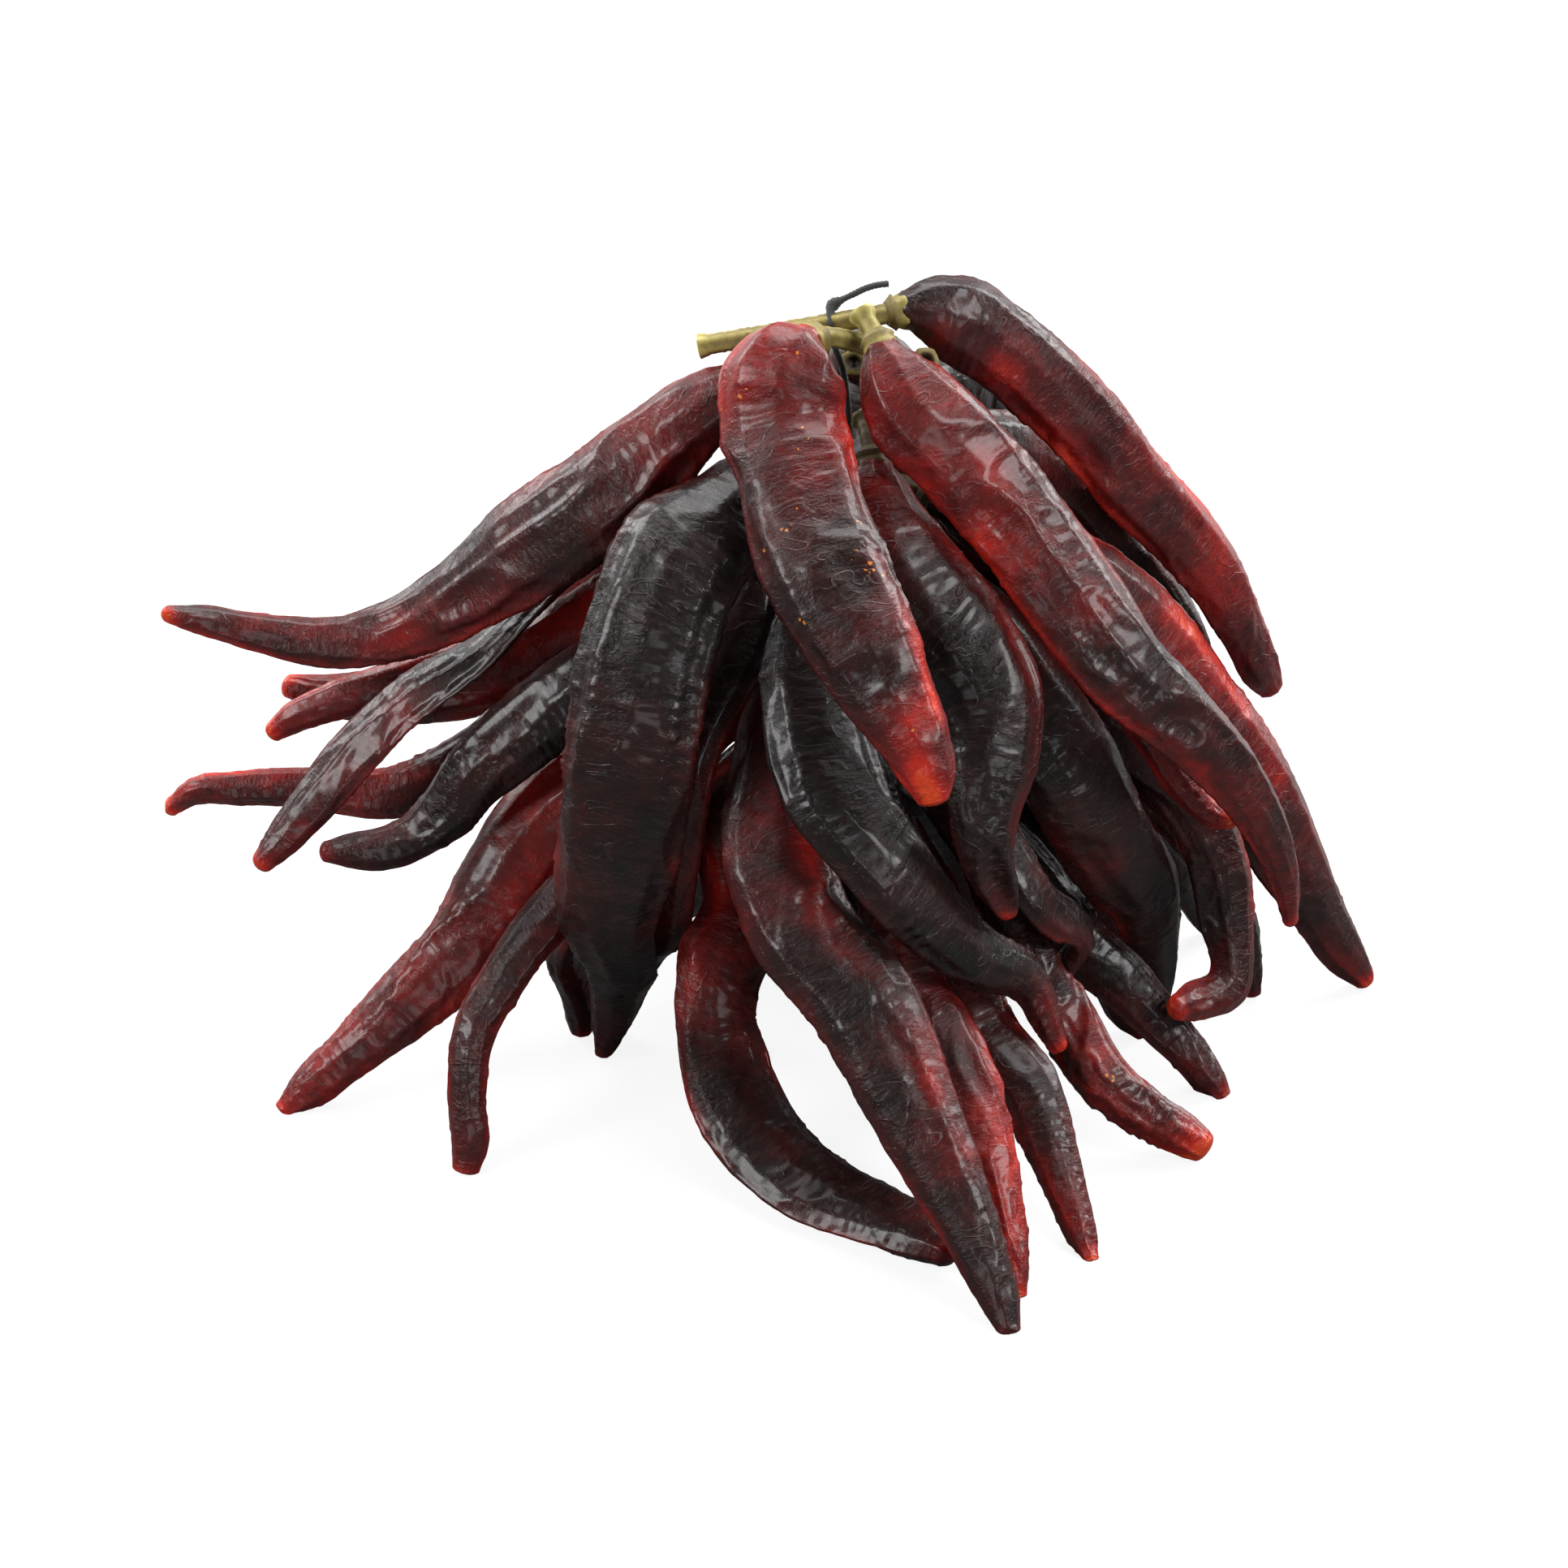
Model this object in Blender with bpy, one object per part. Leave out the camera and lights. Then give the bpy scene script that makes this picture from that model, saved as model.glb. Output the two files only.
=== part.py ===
"""A string of dried chillies: long, dark red pods tied by their stems to a black thread, set down so that
the bunch stands on its lowest tips. Every pod is one solid with its calyx and stem. Lengths are in
millimetres up to the point where a mesh is made, and +Z is up. Azimuths are compass angles about the
thread: 0 is +X, 90 is +Y. A dip is an angle below the horizontal.
"""

import math
from typing import NamedTuple

import bpy
import numpy as np

MM = 0.001

# The thread, up the middle of the bunch and over the longest stem
THREAD_RADIUS = 0.75
THREAD_SIDES = 6
THREAD_SPACING = 2.5
THREAD_PLAIN_TO = 131.0  # up to this height it is straight and needs few rings
THREAD_PLAIN_STEP = 6
KNOT_RADIUS = 1.5
KNOT_HALF_LENGTH = 2.4
KNOT_AT = (-4.0, 3.2, 171.3)
THREAD_FOOT = 46.0
THREAD_ROUTE = (
    (0, 0, THREAD_FOOT),
    (0, 0, 90),
    (0, 0, 140),
    (-1.5, -1.2, 158),
    (-3.6, -1.2, 164.5),
    (-4.4, -0.3, 169.0),
    KNOT_AT,
    (-0.5, 3.8, 173.2),
    (4.0, 4.4, 175.2),
    (7.8, 5.0, 175.6),
)

# Stems and calyxes
STEM_RADIUS = 2.1
STEM_END_RADIUS = 2.9
STEM_END_LENGTH = 2.6
STEM_CLEARANCE = 3.8
STEM_RISE = 4.0
CALYX_RADIUS = 6.4
CALYX_LENGTH = 4.0
STEM_RINGS = 4

# Pods
RING_SIDES = 8
POD_RINGS = (0.025, 0.08, 0.17, 0.29, 0.41, 0.53, 0.65, 0.76, 0.87, 0.95, 0.987)
TUCKED_POD_RINGS = (0.025, 0.12, 0.28, 0.45, 0.62, 0.78, 0.92, 0.985)
NECK = 0.46
TIP_ROUNDING = 0.035
TIP_ROUNDNESS = 0.9
HOLLOW = (0.05, 0.28)  # depth, as a share of the half width
HOLLOW_SPREAD = 0.75
HOLLOW_ASIDE = 0.4
HOLLOW_DRIFT = 0.8
UNEVENNESS = 0.09
SEED = 7

# Room between the pods
STATION_SPACING = 6.5
SHORTEST_STATION = 0.65  # half length of a station's ellipsoid, as a share of the spacing
THREAD_STATION = 1.2
GAP = 1.2
NEAR = 6.0
FLOOR_SHARE = 0.6
FLOOR_FLAT = 3.4  # the tips are flat up to here where they rest
SETTLE_STEPS = 260
SORT_EVERY = 10
HOME_PULL = 0.03
HOME_PULL_ENDS = 0.8  # share of the steps after which nothing pulls a pod back home
OUTER_YIELD = 0.35
HIT_WEIGHT = 0.6
FLOOR_PUSH = 0.5

# Points in each stretch of a line
STEM_SAMPLES = 20
POD_SAMPLES = 50
FINE_SAMPLES = 7
THREAD_SAMPLES = 24


class Chilli(NamedTuple):
    """One pod. It leaves the thread at hang, heading along leave, passes through its bends and ends at
    its tip, heading along end. Its roll is 0 where it lies flat and 90 where it stands on edge."""

    name: str
    hang: float
    leave: tuple  # azimuth, dip
    bends: tuple  # azimuth, reach, height of each
    tip: tuple  # azimuth, reach, height
    end: tuple  # azimuth, dip
    width: float
    roll: float = 0.0
    flat: float = 0.6  # thickness for a width of 1
    shoulder: float = 0.24  # share of the length where the pod reaches its full width
    belly: float = 0.38  # share of the length where it begins to narrow
    taper: float = 1.7
    tip_radius: float = 3.0
    twist: float = 0.0
    root: float = 17.0  # reach of the calyx
    stem: tuple = ()  # azimuth, reach, height of the stem's free end


CROWN = [
    Chilli("top_left", 161, (-160, 45), ((-175, 66, 118), (-179, 100, 95)), (180, 149, 101), (180, -12), 25.5,
           roll=-50, shoulder=0.3, belly=0.42, taper=0.75, tip_radius=2.6),
    Chilli("top_front", 167, (-140, 24), ((-119, 29, 153), (-93, 54, 133)), (-78, 78, 97), (-70, 65), 27.5,
           roll=-70, shoulder=0.1, belly=0.55, taper=1.5, tip_radius=4.2, root=15, stem=(-50, 4.5, 168)),
    Chilli("top_right_front", 166, (-56, 38), ((-44, 39, 135), (-35.5, 70, 109), (-25.5, 93, 78)),
           (-23, 103, 46), (-20, 85), 23.5, roll=40, shoulder=0.12, belly=0.4, taper=1.3, tip_radius=2.4,
           root=13),
    Chilli("top_right", 170.5, (14, -5), ((11, 44, 149), (12, 63, 125), (12, 82, 102)), (12, 98, 70),
           (15, 60), 20, roll=65, shoulder=0.1, tip_radius=4.2, root=12, stem=(173.6, 32.2, 162)),
    Chilli("top_right_back", 152, (30, 30), ((24, 50, 121),), (18, 72, 86), (15, 70), 18,
           roll=40, stem=(-20, 16, 165)),
]

LEFT = [
    Chilli("left_upper_back", 122, (155, 30), ((162, 57, 91), (169, 95, 72)), (173, 127, 75), (173, -20),
           22, roll=-70, tip_radius=3.2),
    Chilli("left_upper", 124, (176, 25), ((-178, 61, 97), (178, 97, 82)), (179, 128, 69), (-170, 45), 15,
           roll=-60),
    Chilli("left_folded", 137, (-177, 25), ((-178, 73, 101), (-174, 104, 77)), (-170, 131, 50), (-160, 35),
           16, roll=75, twist=-140, flat=0.35, belly=0.6),
    Chilli("left_middle", 108, (178, 35), ((180, 94, 58), (179, 132, 56)), (179, 152, 49), (179, 75), 18,
           roll=-60, belly=0.35, taper=1.2, tip_radius=2.6),
    Chilli("left_front_middle", 112, (-168, 35), ((-166, 80, 66), (-167.5, 96, 56)), (-169, 118, 55),
           (-170, -15), 20, roll=-50),
    Chilli("left_low", 90, (-170, 30), ((-158, 80, 45), (-158, 108, 22)), (-159, 133, 2), (-160, 40), 24,
           roll=-50, tip_radius=3.4),
    Chilli("left_low_front", 78, (-155, 25), ((-148, 80, 44), (-144, 100, 28)), (-139.2, 109, 2), (-142, 60),
           17, roll=-40, belly=0.25, taper=0.7, tip_radius=4.0),
]

FRONT = [
    Chilli("front_left_broad", 146, (-150, 30), ((-138, 48, 130), (-131.5, 68.5, 98), (-137, 66.5, 48)),
           (-154, 61, 2), (-170, 75), 31, roll=-35, flat=0.5, belly=0.48, taper=1.2, tip_radius=2.4),
    Chilli("front_left_low", 88, (-175, 35), ((-158, 66, 48),), (-164, 62, 3), (-165, 85), 19,
           tip_radius=4.0),
    Chilli("front_left_inner", 122, (-130, 55), ((-125, 46, 82), (-140, 54, 50)), (-161, 55, 2),
           (170, 75), 18.5, roll=-20, tip_radius=2.4),
    Chilli("front_ribbon", 86, (-150, 40), ((-131, 54, 54), (-114.5, 66, 26), (-99.5, 80.5, 11)),
           (-79, 109, 8), (-55, 0), 21, roll=30, flat=0.4, twist=-60, belly=0.7, taper=2.2,
           tip_radius=5.0),
    Chilli("front_long", 100, (-125, 35), ((-109, 52, 78), (-87, 84, 50)), (-76, 131, 2), (-72, 45), 25,
           tip_radius=3.2),
    Chilli("front_low", 74, (-80, 20), ((-75, 87, 34),), (-73.7, 120, 2), (-68, 60), 20),
    Chilli("front_dark", 122, (-115, 40), ((-92, 61, 87), (-75.5, 68, 61)), (-52, 75, 27), (-40, 40), 24,
           belly=0.35, taper=1.4),
    Chilli("front_short", 146, (-70, 35), ((-57, 53, 109), (-65, 65, 82)), (-63, 69, 58), (-50, 70), 24,
           roll=15, flat=0.5, tip_radius=2.6),
    Chilli("front_right_inner", 106, (-60, 50), ((-51, 56, 60),), (-44, 60, 22), (-40, 80), 14),
    Chilli("front_right_low", 66, (-72, 25), ((-63, 73, 33),), (-64, 114, 2), (-64, 40), 19,
           roll=20, tip_radius=2.2),
    Chilli("front_right_withered", 88, (-45, 45), ((-49.5, 67, 33), (-47, 85, 17)), (-41, 102, 6),
           (-38, 20), 16, roll=30, flat=0.7, tip_radius=4.4),
]

RIGHT = [
    Chilli("right_front", 124, (-26, 40), ((-26, 58, 74),), (-15, 73, 12), (0, 80), 24.5, roll=50,
           belly=0.55, tip_radius=2.6),
    Chilli("right_hooked", 108, (-12, 25), ((-14, 73, 63), (-19, 89, 27)), (-31, 81, 25), (-105, -15),
           17, roll=50, tip_radius=3.6),
    Chilli("right_small", 130, (-17, 40), ((-21, 68, 85),), (-21, 89, 67), (-15, -15), 14, roll=50,
           tip_radius=2.2),
    Chilli("right_outer", 134, (10, 25), ((2, 83, 65),), (1, 120, 4), (0, 50), 25, roll=70, belly=0.5,
           tip_radius=3.6),
    Chilli("right_low_back", 94, (0, 30), ((0, 80, 42),), (-1, 93, 2), (-4, 85), 15, roll=30),
    Chilli("right_low_inner", 64, (-16, 25), ((-18, 50, 32),), (-15, 69, 2), (-12, 50), 14),
    Chilli("right_low", 66, (-32, 25), ((-27, 74, 22),), (-27, 93, 2), (-28, 45), 16, roll=45),
    Chilli("right_back", 140, (12, 35), ((11, 66, 102),), (11, 81, 74), (12, 75), 20, roll=60),
]

BACK = [
    Chilli("back_top", 154, (84, 25), ((84, 56, 122), (84, 72, 98)), (86, 86, 64), (95, 65), 25, belly=0.3),
    Chilli("back_top_left", 147, (140, 25), ((138, 66, 112), (131, 90, 92)), (128, 110, 80), (120, 5), 22,
           roll=-30, taper=1.1),
    Chilli("back_upper_right", 139, (55, 30), ((50, 58, 105),), (53, 90, 60), (62, 75), 23, roll=25),
    Chilli("back_upper", 138, (106, 35), ((99, 60, 102),), (106, 92, 56), (116, 70), 24, roll=-20,
           flat=0.5),
    Chilli("back_upper_left", 126, (148, 30), ((147, 52, 93),), (146, 80, 58), (148, 60), 20),
    Chilli("back_middle_right", 122, (42, 35), ((45, 63, 82), (39, 84, 53)), (42, 102, 24), (52, 45), 19,
           roll=30, taper=1.2),
    Chilli("back_middle", 122, (85, 40), ((84, 64, 81), (92, 88, 52)), (97, 108, 27), (110, 25), 21,
           flat=0.5),
    Chilli("back_middle_left", 114, (135, 30), ((129, 70, 76),), (127, 108, 42), (122, 15), 18, roll=-30),
    Chilli("back_low_right", 85, (30, 25), ((26, 68, 50),), (28, 108, 2), (36, 40), 17, tip_radius=3.8),
    Chilli("back_low_inner", 80, (64, 25), ((60, 66, 46), (66, 92, 22)), (70, 114, 2), (80, 35), 20),
    Chilli("back_low_middle", 68, (92, 25), ((88, 62, 38),), (90, 112, 2), (98, 50), 18, tip_radius=2.4),
    Chilli("back_low", 84, (115, 25), ((116, 68, 47), (110, 92, 22)), (112, 112, 2), (118, 30), 22),
    Chilli("back_low_left", 72, (150, 20), ((143, 62, 40),), (138, 100, 2), (134, 45), 16, taper=1.1),
]

INSIDE = [
    Chilli("inner_front", 58, (-108, 50), ((-96, 29, 28),), (-82, 36, 2), (-78, 75), 17.5, root=12),
    Chilli("inner_front_right", 50, (-48, 50), ((-44, 29, 26),), (-38, 39, 2), (-35, 75), 19, roll=30,
           root=12),
    Chilli("inner_right", 66, (10, 40), ((12, 44, 41), (8, 63, 18)), (7, 70, 2), (6, 70), 18, roll=60,
           root=12),
    Chilli("inner_right_back", 80, (14, 40), ((14, 58, 46), (13, 78, 25)), (16, 90, 2), (18, 65), 18,
           roll=50),
    Chilli("inner_back", 54, (56, 50), ((54, 34, 28),), (46, 43, 2), (40, 75), 20, root=12),
    Chilli("inner_back_left", 64, (145, 45), ((140, 33, 30),), (138, 50, 2), (136, 70), 20, root=12),
    Chilli("inner_left", 52, (-150, 50), ((-150, 28, 26),), (-152, 36, 2), (-155, 75), 18, roll=-40,
           root=12),
]

CHILLIES = CROWN + LEFT + FRONT + RIGHT + BACK + INSIDE


def heading(azimuth, dip):
    """The unit vector that points along an azimuth, dipping below the horizontal."""
    a, d = math.radians(azimuth), math.radians(dip)
    return np.array([math.cos(a) * math.cos(d), math.sin(a) * math.cos(d), -math.sin(d)])


def place(azimuth, reach, height):
    """The point at this reach from the thread and height above the floor."""
    a = math.radians(azimuth)
    return np.array([reach * math.cos(a), reach * math.sin(a), height])


def unit(vector):
    return vector / np.linalg.norm(vector)


def turned(vector, axis, angle):
    """A vector turned about a unit axis by an angle in radians."""
    c, s = math.cos(angle), math.sin(angle)
    return vector * c + np.cross(axis, vector) * s + axis * (axis @ vector) * (1 - c)


def hermite(start, start_pull, end, end_pull, samples):
    """Points of the cubic that starts and ends at these places with these tangents."""
    t = np.linspace(0, 1, samples)[:, None]
    return (
        (2 * t**3 - 3 * t**2 + 1) * start
        + (t**3 - 2 * t**2 + t) * start_pull
        + (3 * t**2 - 2 * t**3) * end
        + (t**3 - t**2) * end_pull
    )


def curve_through(points, samples, first_way=None, last_way=None):
    """A smooth line through the points, which starts and ends along these unit vectors."""
    ways = [unit(after - before) for before, after in zip(points, points[2:])]
    ways.insert(0, unit(points[1] - points[0]) if first_way is None else first_way)
    ways.append(unit(points[-1] - points[-2]) if last_way is None else last_way)
    pieces = [points[:1]]
    for k, (start, end) in enumerate(zip(points, points[1:])):
        chord = np.linalg.norm(end - start)
        pieces.append(hermite(start, ways[k] * chord, end, ways[k + 1] * chord, samples)[1:])
    return np.concatenate(pieces)


def arc_lengths(points):
    steps = np.linalg.norm(np.diff(points, axis=0), axis=1)
    return np.concatenate([[0], np.cumsum(steps)])


def resampled(points, distances):
    """The points of a line at these distances along it."""
    along = arc_lengths(points)
    return np.stack([np.interp(distances, along, points[:, i]) for i in range(3)], axis=1)


def section_axes(points, roll=0.0, twist=0.0):
    """(tangent, broad axis, thin axis) at each point. The broad axis starts level and turns no more than
    the line does, apart from roll at the start and twist added evenly up to the end."""
    along = np.gradient(points, axis=0)
    along /= np.linalg.norm(along, axis=1, keepdims=True)
    outward = unit((points[-1] - points[0]) * (1, 1, 0) + (1e-6, 0, 0))
    carried = np.cross([0, 0, 1.0], outward)
    broad = np.empty_like(along)
    for k, tangent in enumerate(along):
        carried = unit(carried - tangent * (carried @ tangent))
        share = k / (len(along) - 1)
        broad[k] = turned(carried, tangent, math.radians(roll + twist * share))
    return along, broad, np.cross(along, broad)


def pod_radii(chilli, share):
    """(broad, thin) half widths of a pod at a share of its length, 0 at the calyx and 1 at the tip."""
    half = chilli.width / 2
    rise = min(1.0, share / chilli.shoulder)
    swell = NECK + (1 - NECK) * math.sin(rise * math.pi / 2)
    fade = max(0.0, (share - chilli.belly) / (1 - chilli.belly))
    narrowing = 1 - (1 - chilli.tip_radius / half) * fade**chilli.taper
    rounding = math.sqrt(max(0.0, 1 - max(0.0, (share - 1 + TIP_ROUNDING) / TIP_ROUNDING) ** 2))
    broad = half * swell * narrowing * rounding
    roundness = max(fade**3, 1 - rise)
    thin = broad * (chilli.flat + (TIP_ROUNDNESS - chilli.flat) * roundness)
    return broad, thin


def radii(chilli, distance, stem_length, length):
    """(broad, thin) half widths at a distance along the whole centre line."""
    if distance >= stem_length:
        return pod_radii(chilli, (distance - stem_length) / (length - stem_length))
    flare = max(0.0, 1 - distance / STEM_END_LENGTH)
    cup = max(0.0, 1 - (stem_length - distance) / CALYX_LENGTH)
    radius = STEM_RADIUS + (STEM_END_RADIUS - STEM_RADIUS) * flare + (CALYX_RADIUS - STEM_RADIUS) * cup
    return radius, radius


class Line:
    """A chilli's centre line as evenly spaced stations, which make_room moves."""

    def __init__(self, chilli):
        self.chilli = chilli
        self.tucked_away = "back" in chilli.name or "inner" in chilli.name
        azimuth, dip = chilli.leave
        way = heading(azimuth, dip)
        root = place(azimuth, chilli.root, chilli.hang)
        free_end = chilli.stem or (azimuth, STEM_CLEARANCE, chilli.hang + STEM_RISE)
        stem = curve_through([place(*free_end), root], STEM_SAMPLES, last_way=way)
        places = [root] + [place(*bend) for bend in chilli.bends] + [place(*chilli.tip)]
        pod = curve_through(places, POD_SAMPLES, way, heading(*chilli.end))
        points = np.concatenate([stem, pod[1:]])
        self.stem_length = arc_lengths(stem)[-1]
        self.length = arc_lengths(points)[-1]
        count = round(self.length / STATION_SPACING) + 1
        distances = np.linspace(0, self.length, count)
        self.home = resampled(points, distances)
        self.points = self.home.copy()
        self.sizes = np.array([radii(chilli, d, self.stem_length, self.length) for d in distances])

    def axes(self):
        return section_axes(self.points, self.chilli.roll, self.chilli.twist)

    def readiness(self):
        """How readily the pod moves out of its neighbours' way: 0 not at all, 1 fully."""
        if self.chilli.name == "top_right":
            return 0.0
        return 1.0 if self.tucked_away else OUTER_YIELD


def shared_along(shift, passes=3):
    """A shift of each station shared with its neighbours, so that the line stays smooth."""
    for _ in range(passes):
        padded = np.vstack([shift[:1], shift, shift[-1:]])
        shift = (padded[:-2] + 2 * padded[1:-1] + padded[2:]) / 4
    return shift


def support(normal, halves, axes):
    """How far ellipsoids with these half widths along these axes reach along each normal."""
    reach = sum((half * np.einsum("ij,ij->i", normal, axis)) ** 2 for half, axis in zip(halves, axes))
    return np.sqrt(reach)


def make_room(lines, thread):
    """Moves the centre lines apart until the pods no longer reach into each other, the thread or the
    floor. Each station counts as an ellipsoid with the pod's own section."""
    counts = [len(line.points) for line in lines] + [len(thread)]
    starts = np.cumsum([0] + counts)
    spans = [slice(a, b) for a, b in zip(starts, starts[1:])]
    owner = np.repeat(np.arange(len(counts)), counts)
    readiness = np.repeat([line.readiness() for line in lines] + [0.0], counts)
    home = np.concatenate([line.home for line in lines] + [thread])
    thread_sizes = np.full((len(thread), 2), THREAD_RADIUS)
    broad_half, thin_half = np.concatenate([line.sizes for line in lines] + [thread_sizes]).T
    long_half = np.clip(thin_half, SHORTEST_STATION * STATION_SPACING, STATION_SPACING)
    long_half[spans[-1]] = THREAD_STATION
    halves = (broad_half, thin_half, long_half)
    thread_axes = [np.tile(axis, (len(thread), 1)) for axis in np.eye(3)]
    points = home.copy()
    for step in range(SETTLE_STEPS):
        for line, span in zip(lines, spans):
            line.points = points[span]
        found = [line.axes() for line in lines]
        along, broad, thin = (np.concatenate([a[k] for a in found] + [thread_axes[k]]) for k in range(3))
        axes = (broad, thin, along)
        if step % SORT_EVERY == 0:
            apart = np.linalg.norm(points[None] - points[:, None], axis=2)
            near = (apart < broad_half[:, None] + broad_half + NEAR) & (owner[:, None] < owner)
            near &= readiness[:, None] + readiness > 0
            one, two = np.nonzero(near)
            one_share = readiness[one] / (readiness[one] + readiness[two])
        offset = points[two] - points[one]
        distance = np.linalg.norm(offset, axis=1)
        normal = offset / np.maximum(distance, 1e-6)[:, None]
        reach = support(normal, [h[one] for h in halves], [a[one] for a in axes])
        reach += support(normal, [h[two] for h in halves], [a[two] for a in axes])
        bite = np.maximum(reach + GAP - distance, 0.0)
        push = normal * bite[:, None]
        shift = np.zeros_like(points)
        hits = np.ones(len(points))
        np.add.at(shift, one, -push * one_share[:, None])
        np.add.at(shift, two, push * (1 - one_share)[:, None])
        np.add.at(hits, one, HIT_WEIGHT * (bite > 0))
        np.add.at(hits, two, HIT_WEIGHT * (bite > 0))
        shift /= np.sqrt(hits)[:, None]
        up = np.tile([0.0, 0.0, 1.0], (len(points), 1))
        sunk = FLOOR_SHARE * support(up, halves, axes) - points[:, 2]
        shift[:, 2] += FLOOR_PUSH * np.maximum(sunk, 0.0)
        fading = max(0.0, 1 - step / (HOME_PULL_ENDS * SETTLE_STEPS))
        shift += (home - points) * HOME_PULL * fading
        for line, span in zip(lines, spans):
            if line.readiness() > 0:
                points[span] += shared_along(shift[span])
    return bite.max()


def sections(line, index):
    """The rings of a chilli from the stem's free end to the tip, each RING_SIDES points. No two pods
    dry alike: each has its own hollows along its broad faces and its own uneven edges."""
    chilli = line.chilli
    rng = np.random.default_rng(SEED + index)
    pod_length = line.length - line.stem_length
    stem_rings = [0.0, STEM_END_LENGTH, line.stem_length - CALYX_LENGTH, line.stem_length - 0.01]
    shares = TUCKED_POD_RINGS if line.tucked_away else POD_RINGS
    distances = stem_rings + [line.stem_length + share * pod_length for share in shares]
    fine = curve_through(list(line.points), FINE_SAMPLES)
    stretch = arc_lengths(fine)[-1] / line.length
    fine_along = arc_lengths(fine)
    _, broad_axes, thin_axes = section_axes(fine, chilli.roll, chilli.twist)
    centres = resampled(fine, np.array(distances) * stretch)
    angles = 2 * math.pi * np.arange(RING_SIDES) / RING_SIDES
    depths = rng.uniform(*HOLLOW, 2)
    middles = np.array([math.pi / 2, -math.pi / 2]) + rng.uniform(-HOLLOW_ASIDE, HOLLOW_ASIDE, 2)
    drifts = rng.uniform(-HOLLOW_DRIFT, HOLLOW_DRIFT, 2)
    rings = []
    for centre, distance in zip(centres, distances):
        k = int(np.argmin(np.abs(fine_along - distance * stretch)))
        broad, thin = radii(chilli, distance, line.stem_length, line.length)
        share = max(0.0, (distance - line.stem_length) / pod_length)
        size = np.ones(RING_SIDES)
        for depth, middle, drift in zip(depths, middles, drifts):
            away = np.angle(np.exp(1j * (angles - middle - drift * share)))
            size -= depth * np.exp(-((away / HOLLOW_SPREAD) ** 2)) * math.sin(math.pi * share)
        size -= rng.uniform(0, UNEVENNESS, RING_SIDES) * (share > 0)
        across = np.outer(np.cos(angles) * size * broad, broad_axes[k])
        rings.append(centre + across + np.outer(np.sin(angles) * size * thin, thin_axes[k]))
    return fine[0], rings, fine[-1]


def swept_mesh(name, first, rings, last):
    """A closed mesh over the rings, with a fan of triangles to the point at each end."""
    sides = len(rings[0])
    vertices = np.concatenate([[first], *rings, [last]])
    vertices[:, 2] = np.maximum(vertices[:, 2], FLOOR_FLAT)
    faces = []
    for side in range(sides):
        after = (side + 1) % sides
        faces.append((0, 1 + after, 1 + side))
        for k in range(len(rings) - 1):
            a, b = 1 + k * sides, 1 + (k + 1) * sides
            faces.append((a + side, a + after, b + after, b + side))
        end = 1 + (len(rings) - 1) * sides
        faces.append((end + side, end + after, len(vertices) - 1))
    mesh = bpy.data.meshes.new(name)
    mesh.from_pydata([tuple(v) for v in vertices * MM], [], faces)
    mesh.shade_smooth()
    return mesh


def chilli_mesh(line, index, skin, stem_material):
    name = "chilli_" + line.chilli.name
    mesh = swept_mesh(name, *sections(line, index))
    mesh.materials.append(skin)
    mesh.materials.append(stem_material)
    # the free end's fan and the bands between the stem's rings are stem and calyx
    stem_vertices = 1 + STEM_RINGS * RING_SIDES
    for polygon in mesh.polygons:
        if max(polygon.vertices) < stem_vertices:
            polygon.material_index = 1
    return mesh


def thread_line():
    route = [np.array(point, float) for point in THREAD_ROUTE]
    line = curve_through(route, THREAD_SAMPLES)
    count = round(arc_lengths(line)[-1] / THREAD_SPACING) + 1
    return resampled(line, np.linspace(0, arc_lengths(line)[-1], count))


def thread_mesh(line, thread_material):
    """The thread as a tube, swollen where it is knotted on the longest stem."""
    plain = line[:, 2] < THREAD_PLAIN_TO
    kept = ~plain | (np.arange(len(line)) % THREAD_PLAIN_STEP == 0)
    points = line[kept]
    _, one, two = section_axes(points)
    from_knot = np.linalg.norm(points - KNOT_AT, axis=1) / KNOT_HALF_LENGTH
    swelling = np.sqrt(np.maximum(0.0, 1 - from_knot**2))
    size = np.maximum(THREAD_RADIUS, KNOT_RADIUS * swelling)
    angles = 2 * math.pi * np.arange(THREAD_SIDES) / THREAD_SIDES
    rings = []
    for k, centre in enumerate(points):
        rings.append(centre + size[k] * (np.outer(np.cos(angles), one[k]) + np.outer(np.sin(angles), two[k])))
    mesh = swept_mesh("thread", points[0], rings, points[-1])
    mesh.materials.append(thread_material)
    return mesh


def material(name, colour, roughness):
    made = bpy.data.materials.new(name)
    made.use_nodes = True
    shader = made.node_tree.nodes["Principled BSDF"]
    shader.inputs["Base Color"].default_value = (*colour, 1.0)
    shader.inputs["Roughness"].default_value = roughness
    shader.inputs["Metallic"].default_value = 0.0
    return made


def stand_at_origin(meshes):
    """Moves all the meshes together, so that the middle of their box's bottom is the origin."""
    corners = []
    for mesh in meshes:
        points = np.empty(len(mesh.vertices) * 3, np.float32)
        mesh.vertices.foreach_get("co", points)
        corners.append(points.reshape(-1, 3))
    low = np.min([points.min(axis=0) for points in corners], axis=0)
    high = np.max([points.max(axis=0) for points in corners], axis=0)
    middle = (low + high) / 2 * (1, 1, 0) + low * (0, 0, 1)
    for mesh, points in zip(meshes, corners):
        mesh.vertices.foreach_set("co", (points - middle).ravel())
        mesh.update()
    return middle / MM


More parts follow.
